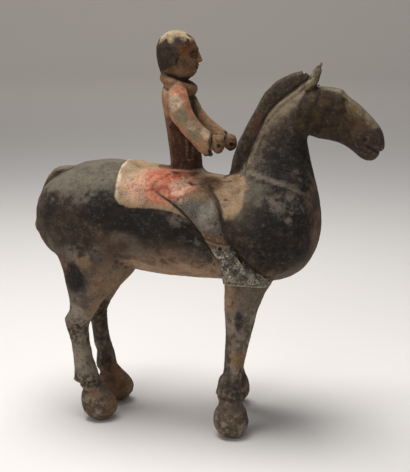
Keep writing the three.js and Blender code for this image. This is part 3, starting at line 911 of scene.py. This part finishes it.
def paintHorseLegs(at, m):
    p, mid, small, fine, trunk = at.p, at.mid, at.small, at.fine, at.trunk
    x, y, z = p.T
    low = ease((124 - z) / 22)
    cannon = inside(p, (-108, -27, 60), (16, 18, 36), 0.8)
    thigh = inside(p, (-110, -30, 100), (16, 18, 14), 0.8)
    pale = low * ease(0.5 + 0.6 * mid + 0.5 * small + 0.7 * fine) + cannon * (0.8 + 0.5 * fine) + 0.6 * thigh
    m["legPale"] = trunk * ease((z - 24) / 12) * np.clip(pale, 0, 1)
    dark = 0.85 * low * ease(0.2 - 0.9 * mid + 0.5 * small - 0.8 * fine) * ease((z - 20) / 16)
    dark *= 1 - 0.8 * inside(p, (-108, -27, 60), (16, 18, 34), 0.8)
    # a dark patch on the right fore, and painted shade over the far legs below the knee
    dark += 0.7 * inside(p, (33, -44, 40), (12, 16, 13), 1.0) + 0.6 * (y > 0) * ease((110 - z) / 10)
    m["legDarkAndFarShade"] = trunk * np.clip(dark, 0, 1)
    m["legBlue"], m["legRust"] = spots(p, "legBlue"), spots(p, "legRust")
    front, _ = strokeDistance(at.q, [(-62, 140), (-72, 128), (-84, 112), (-92, 98)])
    tan = bump(front, 5.5) * (np.abs(y) > 14) * 0.9 + spots(p, "thighTan") * ease(0.6 + small)
    tan += 0.5 * inside(p, (-90, 40, 140), (14, 14, 12), 1.2)
    m["thighTan"] = trunk * np.clip(tan, 0, 1)
    crust = np.zeros(len(p))
    for patch in legMarks["roughBands"]:
        crust = np.maximum(crust, crustPart(p, *patch))
    m["crust"] = crust * trunk * ease(0.75 + 0.8 * small)
    m["hoof"] = ease((legMarks["coronet"] - z) / 5.0)
    m["hoofPale"] = m["hoof"] * ease(-0.1 + 0.7 * mid + 0.4 * small + 0.9 * fine + 0.5 * (x > 0))
    m["hoofWarm"] = spots(p, "hoofWarm")


def paintRiderLegs(at, m):
    p, mid, small, leg = at.p, at.mid, at.small, at.leg
    x, _, z = p.T
    shown = 1 - at.rider
    sole = 0.9 * bump(legSide(p)[:, 1] - 138.6, 0.9)
    m["solePale"] = leg * np.clip(sole + 0.6 * spots(p, "instep"), 0, 1)
    m["vermilion"] = spots(p, "vermilion") * (1 - at.rider * 0.9)
    m["seatChalk"] = spots(p, "seatChalk") * shown
    m["saddleStain"] = spots(p, "saddleStain") * shown
    m["thighBuff"] = leg * ease((z - 200 + 2 * mid) / 8.0)
    m["thighBlue"] = leg * band(z + 0.3 * (x - 10), 181, 204, 9) * ease(0.75 + 0.6 * mid)
    m["thighChalk"] = leg * spots(p, "thighChalk")
    m["shinBrown"] = leg * band(z, 168, 184, 8)
    m["boot"] = leg * ease((bootTop - 1.0 + 1.2 * small - z) / 4.0)


def paintDress(at, m):
    p, mid, small, rider = at.p, at.mid, at.small, at.rider
    x, y, z = p.T
    hands = np.zeros(len(p))
    for hand in (robe["rightHand"], robe["leftHand"]):
        fist = inside(p, hand, (7.8, 7.8, 10.2), 0.15) * ease((x - hand[0] + 5.0) / 1.5)
        hands = np.maximum(hands, fist)
    shoulder = rider * ease((z - 266) / 9) * ease((np.abs(y) - 8) / 3) * ease((-17 - x) / 4)
    arm = np.maximum(rider * armPart(p), shoulder)
    m["sleeve"] = arm * (1 - hands) * ease((300 - z) / 3)
    grey = inside(p, (-24, -21, 293), (5.5, 14, 4), 0.8) + (y > 0) * ease(0.1 + mid)
    grey += inside(p, (-13.5, -28, 272.5), (6.2, 12, 7.0), 1.2) * ease(0.8 + 0.8 * small)
    grey += inside(p, (-3, -27, 259), (8.5, 12, 6.4), 1.0) * ease(0.9 + 0.7 * small)
    m["sleeveGrey"] = m["sleeve"] * np.clip(grey, 0, 1)
    rear, _ = strokeDistance(at.q, [(-32, 286), (-29, 277), (-23, 268), (-14, 259), (-6, 251), (0, 244)])
    front, _ = strokeDistance(at.q, [(-17, 297), (-12, 290), (-9, 281), (-3, 272), (4, 264)])
    salmon = bump(rear, 3.2) + 0.8 * bump(front, 3.0) + inside(p, (-17, -24, 292), (7, 12, 6), 1.0)
    m["salmon"] = m["sleeve"] * np.clip(salmon, 0, 1)
    m["sleeveChalk"] = m["sleeve"] * spots(p, "sleeveChalk")
    m["robe"] = rider * (1 - arm) * (1 - at.head)
    showing = ease((-25 + 4 * mid - x) / 7 + 0.5) + 0.2 * ease((z - 262) / 20) * (np.abs(y) > 8)
    m["robeWorn"] = m["robe"] * np.clip(showing, 0, 1) * (z < 292)
    roll, lift = collarPlace(p)
    m["collar"] = rider * band(roll, 9.0, 19.5, 1.5) * band(lift, -4.2, 4.6, 1.2)
    m["fists"] = hands * rider


def paintRiderHead(at, m):
    # hair, warm temples and lips, and fine dark lines drawn for brows, lids and mouth
    p, small, head = at.p, at.small, at.head
    x, y, z = p.T
    m["head"] = head
    m["hair"] = head * ease(aboveHairline(p) / 2.4 + 0.5)
    onTop = ease((z - 331.5 + 6.0 * small + 3 * at.mid) / 5.0)
    m["crown"] = head * onTop * ease((x + 42) / 6) * ease((-5 - x) / 6)
    eyeY, eyeZ = riderHead["eyes"]
    ay, facing = np.abs(y), head * ease((at.n[:, 0] - 0.05) / 0.3)
    across = (ay - eyeY) / 3.5
    slit = z - eyeZ + 0.85 - 0.75 * (1.0 - across**2)
    arch = z - (riderHead["browHeight"] + 0.9 - 0.05 * (ay - eyeY) ** 2)
    brow = 0.42 * bump(arch, 0.55) * band(ay, 2.6, 10.4, 1.5)
    lids = 0.75 * bump(slit, 0.4) * (np.abs(across) < 1.05)
    mouthWidth, mouthZ = riderHead["mouth"]
    lipLine = z - (mouthZ + 0.03 * y**2)
    lipEnds = ease((mouthWidth + 0.6 - ay) / 1.4)
    temple = head * inside(p, (-12, 0, 325), (8, 22, 7), 1.0)
    m["temple"] = np.clip(temple + 0.8 * facing * band(lipLine, -2.1, 1.9, 0.8) * lipEnds, 0, 1)
    at.drawn = facing * np.maximum(lids + brow, 0.5 * bump(lipLine, 0.35) * lipEnds)


def paintHollows(at, m):
    # burial soil and painted shade in the hollows, pale rubbed edges, and painted shade in the deep gaps,
    # holes and creases, drawn over with the brow, lid and mouth lines
    p, n, q, rider = at.p, at.n, at.q, at.rider
    x, y, z = p.T
    broadHollow, fineHollow = at.clay.hollowness(30), at.clay.hollowness(5)
    # painted shade with burial soil: broad and fine hollows are darkened
    m["soilAndShade"] = 0.5 * ease((broadHollow - 0.10) / 0.9) + 0.75 * ease((fineHollow - 0.02) / 0.16)
    spared = np.maximum(np.maximum(at.horseHead, at.head), 0.7 * m["mane"])
    m["rubbed"] = ease((-at.clay.hollowness(6) - 0.05) / 0.25) * (1 - 0.85 * spared)
    roll, lift = collarPlace(p)
    # painted shadow under the collar roll and in the gap above it
    underCollar = 0.5 * bump(lift + 5.4, 0.9) + 0.45 * bump(lift - 5.2, 1.0)
    gaps = [at.drawn, rider * underCollar * band(roll, 6.0, 21.0, 2.0)]
    # painted shade in the runs beside the tail
    tail, _ = strokeDistance(q, [(-116, 220.5), (-126, 218.5), (-133, 215), (-138, 209), (-142, 201)])
    gaps.append(0.85 * bump(np.abs(y) - 7.0, 1.5) * ease((8.5 - tail) / 3.0))
    # painted shade in the rein holes, inside the cuffs and under the torn cuff
    for hand in (robe["rightHand"], robe["leftHand"]):
        d = p - np.array(hand)
        gaps.append(bump(reinHole(d), 2.0) * (np.abs(d[:, 1]) < 8))
        ringed = np.hypot(d[:, 1], (d[:, 2] + 2.5) * 0.75)
        cuff = band(d[:, 0], -9.5, -2.0, 1.5) * band(ringed, 5.6, 9.5, 1.0)
        gaps.append(0.9 * ease((n[:, 0] - 0.1) / 0.4) * cuff)
        gaps.append(0.7 * inside(d, (-6.0, 0, -9.5), (7.0, 9.0, 4.0), 0.8))
    # painted shade in the nostrils and along the lips
    nostril = np.hypot(*(q - np.array(horseFace["nostril"])).T) + 9 * (np.abs(y) < 6)
    lips, _ = strokeDistance(q, horseFace["lips"])
    gaps.append(at.horseHead * np.maximum(bump(nostril, 1.4), 0.8 * bump(lips, 1.0)))
    # painted shade in the creases where the rider's legs lie on the horse
    behind, along = strokeDistance(legSide(p), legRear)
    before, _ = strokeDistance(legSide(p), legFront)
    beside = ease((np.abs(y) - 18.0) / 6.0) * (z > 138) * (1 - rider)
    gaps.append(0.9 * beside * bump(behind + 0.3, 1.3) * ease((30 - x) / 20) * ease(along * 6.0))
    gaps.append(0.6 * beside * bump(before, 1.2))
    # painted shade in the calf hole
    gaps.append(0.8 * at.leg * (y < -40) * bump(calfHole(p), 1.4))
    m["deep"] = np.maximum.reduce(gaps)


def paintMasks(clay):
    # where each colour was laid, from 0 to 1 at each point
    at, m = Places(clay), {}
    for paintPart in (
        paintCloth, paintTrunk, paintHorseHead, paintHorseLegs, paintRiderLegs, paintDress, paintRiderHead,
        paintHollows,
    ):
        paintPart(at, m)
    m["scratched"] = m["boot"] + 0.06 * m["inkBlue"] + 0.3 * m["thighBlue"]
    film = {"inkBlue": 0.35, "cloth": 0.6, "sleeve": 0.4, "boot": 0.4, "vermilion": 0.3}
    m["film"] = sum(share * m[name] for name, share in film.items())
    print("paint laid out in", len(m), "masks")
    return m


def potteryFigure():
    clay = kneadedClay()
    modelBody(clay)
    modelLegs(clay)
    modelHorseHead(clay)
    modelMane(clay)
    modelRiderLegs(clay)
    modelRiderDress(clay)
    modelRiderHead(clay)
    ageSurface(clay)
    masks = paintMasks(clay)
    for name, values in masks.items():
        layer = clay.mesh.attributes.new(name, "FLOAT", "POINT")
        layer.data.foreach_set("value", np.clip(values, 0, 1).astype(np.float32))
    figure = bpy.data.objects.new(clayBody["name"], clay.mesh)
    bpy.context.scene.collection.objects.link(figure)
    thin = figure.modifiers.new("fewerFaces", "DECIMATE")
    thin.ratio = clayBody["triangles"] / (2.0 * len(clay.mesh.polygons))
    graph = bpy.context.evaluated_depsgraph_get()
    figure.data = bpy.data.meshes.new_from_object(
        figure.evaluated_get(graph), preserve_all_data_layers=True, depsgraph=graph
    )
    figure.modifiers.clear()
    figure.data.name = clayBody["name"]
    for polygon in figure.data.polygons:
        polygon.use_smooth = True
    print("figure thinned to", len(figure.data.polygons), "faces,", len(figure.data.attributes), "attributes")
    return figure


def paint(r, g, b):
    # a colour as the eye reads it, 0 to 255, made linear
    linear = [c / 255.0 / 12.92 if c <= 10 else ((c / 255.0 + 0.055) / 1.055) ** 2.4 for c in (r, g, b)]
    return (*linear, 1.0)


class NodeTable:
    # sets out nodes in a tree and joins them by name
    def __init__(self, tree):
        self.tree = tree
        self.column = 0

    def join(self, socket, value):
        if isinstance(value, bpy.types.NodeSocket):
            self.tree.links.new(value, socket)
        else:
            socket.default_value = value

    def add(self, kind, inputs=None, **settings):
        node = self.tree.nodes.new(kind)
        node.location = (self.column % 12 * 190 - 1400, -(self.column // 12) * 260)
        self.column += 1
        for key, value in settings.items():
            setattr(node, key, value)
        for key, value in (inputs or {}).items():
            self.join(node.inputs[key], value)
        return node

    def math(self, operation, a, b=0.0, c=0.0, clamp=False):
        given = {0: a, 1: b, 2: c}
        return self.add("ShaderNodeMath", given, operation=operation, use_clamp=clamp).outputs[0]

    def mix(self, factor, a, b, blend="MIX"):
        given = {0: factor, 6: a, 7: b}
        return self.add("ShaderNodeMix", given, data_type="RGBA", blend_type=blend).outputs[2]

    def mask(self, name):
        return self.add("ShaderNodeAttribute", attribute_name=name).outputs["Fac"]

    def ramp(self, value, start, end, low=0.0, high=1.0, steps="LINEAR"):
        # what lies between start and end, spread from low to high
        given = {"Value": value, "From Min": start, "From Max": end, "To Min": low, "To Max": high}
        return self.add("ShaderNodeMapRange", given, interpolation_type=steps).outputs["Result"]

    def noise(self, place, scale, detail, roughness=0.5, distortion=0.0):
        given = {"Vector": place, "Scale": scale, "Detail": detail, "Roughness": roughness}
        return self.add("ShaderNodeTexNoise", given | {"Distortion": distortion}).outputs["Fac"]


def groupTree(name, inputs, outputs):
    tree = bpy.data.node_groups.new(name, "ShaderNodeTree")
    for label, value in inputs:
        kind = "NodeSocketColor" if isinstance(value, tuple) else "NodeSocketFloat"
        tree.interface.new_socket(name=label, in_out="INPUT", socket_type=kind).default_value = value
    for label, kind in outputs:
        tree.interface.new_socket(name=label, in_out="OUTPUT", socket_type=kind)
    table = NodeTable(tree)
    return table, table.add("NodeGroupInput").outputs, table.add("NodeGroupOutput").inputs


def paintLayerGroup():
    # one colour laid over another, its edge wandering and its film flaked away in places
    table, given, result = groupTree(
        "paintLayer",
        [
            ("Under", (0.2, 0.2, 0.2, 1)), ("Paint", (0.5, 0.5, 0.5, 1)), ("Second", (0.4, 0.4, 0.4, 1)),
            ("Mask", 0.0), ("Cover", 0.8), ("Ragged", 0.5), ("Wander", 0.5), ("Flakes", 0.5),
        ],
        [("Color", "NodeSocketColor")],
    )
    wander = table.math("MULTIPLY", table.math("SUBTRACT", given["Wander"], 0.5), given["Ragged"])
    wandered = table.math("MULTIPLY_ADD", wander, 3.0, given["Mask"])
    edge = table.ramp(wandered, 0.05, 0.9, steps="SMOOTHSTEP")
    flaked = table.math("MULTIPLY_ADD", given["Cover"], 0.55, given["Flakes"])
    gone = table.ramp(flaked, 0.62, 0.86, steps="SMOOTHSTEP")
    # nothing is laid where there is no mask at all
    some = table.math("MULTIPLY", given["Mask"], 5.0, clamp=True)
    laid = table.math("MULTIPLY", table.math("MULTIPLY", edge, gone), some, clamp=True)
    cloud = table.ramp(given["Wander"], 0.36, 0.64)
    tone = table.mix(cloud, given["Paint"], given["Second"])
    table.join(result["Color"], table.mix(laid, given["Under"], tone))
    return table.tree


def clayGrainGroup():
    # the fired clay's grit, pits and wiping strokes, and the clouds and flakes that paint breaks up in
    labels = ("Height", "Speckle", "Broad", "Cloud", "Flakes", "Wiped")
    outputs = [(label, "NodeSocketFloat") for label in labels]
    table, given, result = groupTree("clayGrain", [("Grit", 900.0), ("Strokes", 0.3)], outputs)
    place = table.add("ShaderNodeTexCoord").outputs["Object"]
    grit = table.noise(place, given["Grit"], 5.0, 0.68)
    broad = table.noise(place, 48.0, 9.0, 0.64, 0.5)
    cloud = table.noise(place, 125.0, 8.0, 0.64, 0.3)
    flakes = table.noise(place, 380.0, 5.0, 0.72)
    stretched = {"Vector": place, "Rotation": (0.0, 0.35, 0.0), "Scale": (90.0, 420.0, 620.0)}
    wiped = table.noise(table.add("ShaderNodeMapping", stretched).outputs[0], 1.0, 4.0, 0.55)
    cells = {"Vector": place, "Scale": 330.0, "Randomness": 1.0}
    pits = table.add("ShaderNodeTexVoronoi", cells, feature="F1")
    dent = table.ramp(pits.outputs["Distance"], 0.05, 0.34, -0.55, 0.0, "SMOOTHSTEP")
    few = table.ramp(cloud, 0.5, 0.62)
    height = table.math("ADD", table.math("MULTIPLY", grit, 0.55), table.math("MULTIPLY", dent, few))
    for strokes, share in ((wiped, given["Strokes"]), (cloud, 0.9), (flakes, 0.6)):
        height = table.math("MULTIPLY_ADD", strokes, share, height)
    speck = table.ramp(grit, 0.34, 0.68)
    thin = table.math("MULTIPLY", table.ramp(wiped, 0.58, 0.72), speck)
    for label, value in zip(labels, (height, speck, broad, cloud, flakes, thin)):
        table.join(result[label], value)
    return table.tree


def scratchGroup():
    # short pale scratches that cross each other
    given = [("Density", 300.0), ("Width", 0.06), ("Broken", 0.5)]
    table, given, result = groupTree("crossedScratches", given, [("Mask", "NodeSocketFloat")])
    place = table.add("ShaderNodeTexCoord").outputs["Object"]
    bend = table.add("ShaderNodeTexNoise", {"Vector": place, "Scale": 160.0, "Detail": 3.0}).outputs["Color"]
    reach = (0.006, 0.006, 0.006)
    bent = table.add("ShaderNodeVectorMath", {0: bend, 1: reach}, operation="MULTIPLY").outputs[0]
    moved = table.add("ShaderNodeVectorMath", {0: place, 1: bent}, operation="ADD").outputs[0]
    cells = {"Vector": moved, "Scale": given["Density"]}
    edges = table.add("ShaderNodeTexVoronoi", cells, feature="DISTANCE_TO_EDGE").outputs["Distance"]
    line = table.ramp(edges, 0.0, given["Width"], 1.0, 0.0)
    table.join(result["Mask"], table.math("MULTIPLY", line, table.ramp(given["Broken"], 0.44, 0.58)))
    return table.tree


clayColours = {
    "ground": (paint(104, 90, 76), paint(82, 70, 60)),
    "greyGround": paint(120, 111, 98),
    # dark brown for soil in the pits and for painted shade in the hollows
    "soilAndShade": paint(52, 40, 31),
    "stain": paint(44, 34, 26),
    "dust": paint(150, 134, 112),
    "rubbed": paint(146, 132, 110),
    "scratch": paint(204, 194, 172),
}

# name of the mask, first colour, second colour, cover, ragged edge, the clouds its edge follows
paintLayers = [
    ("brownEarth", paint(132, 105, 84), paint(98, 76, 60), 0.8, 0.5, "Broad"),
    ("bellyTan", paint(178, 148, 121), paint(134, 108, 86), 0.8, 0.6, "Cloud"),
    ("legPale", paint(166, 154, 136), paint(106, 95, 82), 0.8, 0.6, "Cloud"),
    ("inkBlue", paint(43, 34, 29), paint(66, 52, 41), 0.85, 0.7, "Cloud"),
    ("blackest", paint(22, 19, 19), paint(34, 30, 29), 0.85, 0.7, "Broad"),
    ("scuffed", paint(126, 116, 105), paint(94, 84, 75), 0.67, 0.9, "Cloud"),
    # dark patches, and painted shade on the far legs
    ("legDarkAndFarShade", paint(58, 50, 46), paint(78, 66, 57), 0.85, 0.6, "Cloud"),
    ("thighTan", paint(150, 124, 97), paint(116, 93, 72), 0.85, 0.5, "Cloud"),
    ("legRust", paint(140, 108, 70), paint(116, 90, 64), 0.75, 0.7, "Cloud"),
    ("legBlue", paint(36, 38, 46), paint(58, 56, 58), 0.85, 0.5, "Cloud"),
    # painted highlight on the up-facing tops
    ("paintedTopLight", paint(124, 116, 99), paint(84, 78, 69), 0.8, 0.8, "Cloud"),
    ("neckPale", paint(142, 128, 104), paint(98, 85, 69), 0.8, 0.7, "Cloud"),
    ("neckLine", paint(134, 118, 94), paint(98, 84, 66), 0.85, 0.4, "Cloud"),
    # painted highlight on the shoulder's edge
    ("paintedShoulderHighlight", paint(126, 114, 98), paint(88, 78, 68), 0.8, 0.7, "Cloud"),
    ("hoof", paint(104, 86, 71), paint(58, 47, 40), 0.85, 0.6, "Cloud"),
    ("hoofPale", paint(160, 147, 127), paint(120, 106, 90), 0.75, 0.7, "Cloud"),
    ("hoofWarm", paint(160, 122, 88), paint(88, 63, 46), 0.8, 0.6, "Cloud"),
    ("crust", paint(98, 85, 69), paint(26, 20, 17), 0.95, 0.9, "Flakes"),
    ("mane", paint(56, 45, 35), paint(38, 30, 23), 0.95, 0.4, "Broad"),
    ("maneStroke", paint(70, 57, 44), paint(52, 42, 32), 0.6, 0.5, "Cloud"),
    ("maneRed", paint(98, 60, 44), paint(72, 50, 38), 0.7, 0.6, "Cloud"),
    ("cheek", paint(32, 22, 15), paint(72, 56, 37), 0.9, 0.5, "Cloud"),
    ("bridge", paint(146, 133, 107), paint(106, 92, 70), 0.9, 0.5, "Cloud"),
    ("noseSide", paint(104, 82, 54), paint(58, 44, 31), 0.9, 0.5, "Cloud"),
    ("muzzle", paint(72, 56, 47), paint(42, 32, 28), 0.95, 0.4, "Cloud"),
    ("muzzleFlecks", paint(20, 13, 12), paint(90, 70, 58), 0.85, 1.0, "Flakes"),
    ("ochre", paint(132, 100, 54), paint(98, 78, 50), 0.75, 0.7, "Cloud"),
    ("cloth", paint(184, 157, 124), paint(138, 114, 87), 0.9, 0.45, "Cloud"),
    ("clothEarth", paint(182, 154, 121), paint(138, 111, 84), 0.85, 0.6, "Cloud"),
    ("clothChalk", paint(226, 208, 184), paint(200, 176, 150), 0.85, 0.6, "Cloud"),
    ("thighBuff", paint(132, 106, 78), paint(98, 77, 57), 0.9, 0.4, "Cloud"),
    ("shinBrown", paint(112, 80, 58), paint(82, 60, 45), 0.9, 0.5, "Cloud"),
    ("thighBlue", paint(104, 98, 87), paint(62, 61, 60), 0.85, 0.7, "Cloud"),
    ("thighChalk", paint(164, 156, 140), paint(98, 93, 84), 0.76, 0.9, "Cloud"),
    ("vermilion", paint(186, 82, 58), paint(180, 118, 90), 0.74, 0.9, "Cloud"),
    ("seatChalk", paint(216, 186, 160), paint(184, 140, 112), 0.6, 0.9, "Cloud"),
    ("saddleStain", paint(84, 60, 43), paint(110, 84, 61), 0.85, 0.6, "Cloud"),
    ("boot", paint(50, 52, 53), paint(86, 82, 75), 0.93, 0.6, "Cloud"),
    ("solePale", paint(150, 138, 118), paint(116, 104, 88), 0.85, 0.6, "Cloud"),
    ("robe", paint(54, 27, 16), paint(76, 43, 27), 0.95, 0.4, "Broad"),
    ("robeWorn", paint(138, 100, 70), paint(98, 67, 46), 0.75, 0.7, "Cloud"),
    ("sleeve", paint(182, 142, 106), paint(142, 107, 79), 0.94, 0.4, "Cloud"),
    ("sleeveGrey", paint(146, 132, 104), paint(114, 103, 82), 0.9, 0.6, "Cloud"),
    ("salmon", paint(190, 104, 72), paint(176, 128, 98), 0.75, 0.8, "Cloud"),
    ("sleeveChalk", paint(222, 194, 164), paint(184, 150, 122), 0.75, 0.7, "Cloud"),
    ("fists", paint(150, 114, 84), paint(108, 78, 56), 0.95, 0.4, "Cloud"),
    ("collar", paint(150, 102, 66), paint(104, 68, 44), 0.95, 0.4, "Cloud"),
    ("head", paint(102, 76, 54), paint(128, 96, 67), 0.98, 0.4, "Cloud"),
    ("hair", paint(46, 37, 30), paint(64, 50, 39), 0.85, 0.6, "Cloud"),
    ("temple", paint(130, 72, 42), paint(104, 66, 42), 0.75, 0.8, "Cloud"),
    ("crown", paint(196, 178, 142), paint(134, 110, 82), 0.85, 1.0, "Cloud"),
    ("chalk", paint(240, 236, 224), paint(226, 216, 200), 1.0, 0.2, "Cloud"),
    # painted shade in gaps, holes and creases, and the drawn lines of the rider's face
    ("deep", paint(34, 25, 18), paint(48, 35, 26), 1.0, 0.3, "Cloud"),
]


def firedClay():
    material = bpy.data.materials.new("firedPaintedClay")
    material.use_nodes = True
    tree = material.node_tree
    tree.nodes.clear()
    table = NodeTable(tree)
    grain = table.add("ShaderNodeGroup", node_tree=clayGrainGroup()).outputs
    ground, darker = clayColours["ground"]
    colour = table.mix(grain["Cloud"], ground, darker)
    colour = table.mix(table.math("MULTIPLY", grain["Broad"], 0.6), colour, clayColours["greyGround"])
    layer = paintLayerGroup()
    for name, first, second, cover, ragged, breakup in paintLayers:
        mask = table.mask(name)  # made before its layer, so that the layers are worked out one after another
        given = {"Paint": first, "Second": second, "Cover": cover, "Ragged": ragged}
        given |= {"Under": colour, "Mask": mask, "Wander": grain[breakup], "Flakes": grain["Flakes"]}
        colour = table.add("ShaderNodeGroup", given, node_tree=layer).outputs["Color"]
    given = {"Density": 360.0, "Width": 0.1, "Broken": grain["Cloud"]}
    scratches = table.add("ShaderNodeGroup", given, node_tree=scratchGroup())
    onBoot = table.math("MULTIPLY", scratches.outputs["Mask"], table.mask("scratched"))
    colour = table.mix(onBoot, colour, clayColours["scratch"])
    # long wiping marks, brown stains in slow clouds, fine pale flecks left by lime, and dirt in the pits
    colour = table.mix(table.math("MULTIPLY", grain["Wiped"], 0.12), colour, clayColours["dust"])
    colour = table.mix(table.ramp(grain["Broad"], 0.47, 0.68, 0.0, 0.5), colour, clayColours["stain"])
    colour = table.mix(table.ramp(grain["Flakes"], 0.58, 0.72, 0.0, 0.32), colour, clayColours["dust"])
    colour = table.mix(table.ramp(grain["Flakes"], 0.43, 0.31, 0.0, 0.7), colour, clayColours["soilAndShade"])
    # rubbed edges show pale clay, hollows are darkened with burial soil and painted shade, and fine grit
    # speckles everything
    bare = table.ramp(grain["Speckle"], 0.2, 0.7, 0.1, 0.6)
    colour = table.mix(table.math("MULTIPLY", table.mask("rubbed"), bare), colour, clayColours["rubbed"])
    soilAndShadeAmount = table.ramp(grain["Cloud"], 0.3, 0.6, 0.95, 0.55)
    colour = table.mix(table.math("MULTIPLY", table.mask("soilAndShade"), soilAndShadeAmount), colour, clayColours["soilAndShade"])
    mottled = table.ramp(grain["Cloud"], 0.34, 0.66, -0.26, 0.26)
    shade = table.math("ADD", table.math("MULTIPLY_ADD", grain["Speckle"], 0.56, 0.72), mottled)
    grey = table.add("ShaderNodeCombineColor", {0: shade, 1: shade, 2: shade}).outputs[0]
    colour = table.mix(1.0, colour, grey, blend="MULTIPLY")
    rough = table.ramp(grain["Speckle"], 0.0, 1.0, 0.74, 0.95)
    height = table.math("MULTIPLY_ADD", table.mask("film"), 0.6, grain["Height"])
    raised = table.add("ShaderNodeBump", {"Height": height, "Strength": 0.9, "Distance": 0.0008}).outputs[0]
    given = {"Base Color": colour, "Roughness": rough, "Normal": raised}
    shader = table.add("ShaderNodeBsdfPrincipled", given)
    shader.inputs["Specular IOR Level"].default_value = 0.28
    table.join(table.add("ShaderNodeOutputMaterial").inputs["Surface"], shader.outputs[0])
    print("clay and paint mixed,", len(tree.nodes), "nodes")
    return material


figure = potteryFigure()
figure.data.materials.clear()
figure.data.materials.append(firedClay())
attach(figure, "root")
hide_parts("horse_and_rider")

studio = {
    "target": (0.00244, 0.0, 0.166),
    "turn": 12.0,
    "tilt": 13.0,
    "distance": 0.9,
    "lens": 79.5,
    "air": ((0.9, 0.93, 1.0, 1.0), 0.16),
    # place, what it is aimed at, width and depth, power and colour of each lamp
    "lamps": {
        "topSoftbox": ((-0.2, 0.0, 1.28), (0.0, 0.05, 0.1), (0.9, 0.7), 17.0, (1.0, 0.98, 0.965)),
        "backdropWash": ((-0.9, 2.0, 2.6), (-0.9, 5.4, 1.4), (2.0, 1.0), 22.0, (1.0, 0.89, 0.75)),
        "frontFill": ((-0.6, -1.9, 0.9), (0.0, 0.0, 0.2), (1.2, 0.9), 8.0, (1.0, 0.975, 0.95)),
    },
}

paleSheet = {
    "spokes": 96,
    "rings": [0.0, 1.0, 2.5],
    "bendFrom": 4.0,
    "bend": 1.6,
    "bendSteps": 12,
    "rim": 2.2,
    "colours": (paint(243, 240, 236), paint(230, 226, 219)),
}


def makeFloor():
    # a pale sheet that runs under the figure and curves up far behind it
    # it is a wide shallow dish, so that it fills the view from every side
    spokes, bend, steps = paleSheet["spokes"], paleSheet["bend"], paleSheet["bendSteps"]
    profile = [(reach, 0.0) for reach in paleSheet["rings"]]
    for i in range(steps + 1):
        a = i / steps * math.pi / 2
        profile.append((paleSheet["bendFrom"] + bend * math.sin(a), bend - bend * math.cos(a)))
    profile.append((paleSheet["bendFrom"] + bend, paleSheet["rim"]))
    points, faces = [], []
    for reach, lift in profile:
        for k in range(spokes):
            turn = 2 * math.pi * k / spokes
            points.append((reach * math.cos(turn), reach * math.sin(turn), lift))
    for i in range(1, len(profile)):
        for k in range(spokes):
            after = (k + 1) % spokes
            inner, outer = (i - 1) * spokes, i * spokes
            if i == 1:
                faces.append((0, outer + k, outer + after))
            else:
                faces.append((inner + k, outer + k, outer + after, inner + after))
    mesh = bpy.data.meshes.new("paleSheet")
    mesh.from_pydata(points, [], faces)
    for polygon in mesh.polygons:
        polygon.use_smooth = True
    sheet = bpy.data.objects.new("paleSheet", mesh)
    bpy.context.scene.collection.objects.link(sheet)
    material = bpy.data.materials.new("palePaper")
    material.use_nodes = True
    table = NodeTable(material.node_tree)
    shader = material.node_tree.nodes["Principled BSDF"]
    place = table.add("ShaderNodeTexCoord").outputs["Object"]
    fibre = table.noise(place, 60.0, 5.0)
    tone = table.mix(table.math("MULTIPLY", fibre, 0.12), *paleSheet["colours"])
    table.join(shader.inputs["Base Color"], tone)
    shader.inputs["Roughness"].default_value = 0.9
    shader.inputs["Specular IOR Level"].default_value = 0.1
    mesh.materials.append(material)


def softLamp(name, place, aim, size, power, colour):
    data = bpy.data.lights.new(name, "AREA")
    data.shape = "RECTANGLE"
    data.size, data.size_y = size
    data.energy = power
    data.color = colour
    lamp = bpy.data.objects.new(name, data)
    lamp.location = place
    lamp.rotation_euler = (Vector(aim) - Vector(place)).to_track_quat("-Z", "Y").to_euler()
    bpy.context.scene.collection.objects.link(lamp)


def makeStudio():
    makeFloor()
    for name, lamp in studio["lamps"].items():
        softLamp(name, *lamp)
    world = bpy.data.worlds.new("studioAir")
    world.use_nodes = True
    air = world.node_tree.nodes["Background"].inputs
    air["Color"].default_value, air["Strength"].default_value = studio["air"]
    bpy.context.scene.world = world
    target = Vector(studio["target"])
    turn, tilt = math.radians(studio["turn"]), math.radians(studio["tilt"])
    back = Vector((math.sin(turn) * math.cos(tilt), -math.cos(turn) * math.cos(tilt), math.sin(tilt)))
    data = bpy.data.cameras.new("studioCamera")
    data.lens = studio["lens"]
    data.sensor_width = 36.0
    data.clip_end = 50.0
    camera = bpy.data.objects.new("studioCamera", data)
    camera.location = target + back * studio["distance"]
    camera.rotation_euler = (-back).to_track_quat("-Z", "Y").to_euler()
    bpy.context.scene.collection.objects.link(camera)
    bpy.context.scene.camera = camera
    bpy.context.scene.view_settings.view_transform = "Standard"
    print("studio set")


makeStudio()
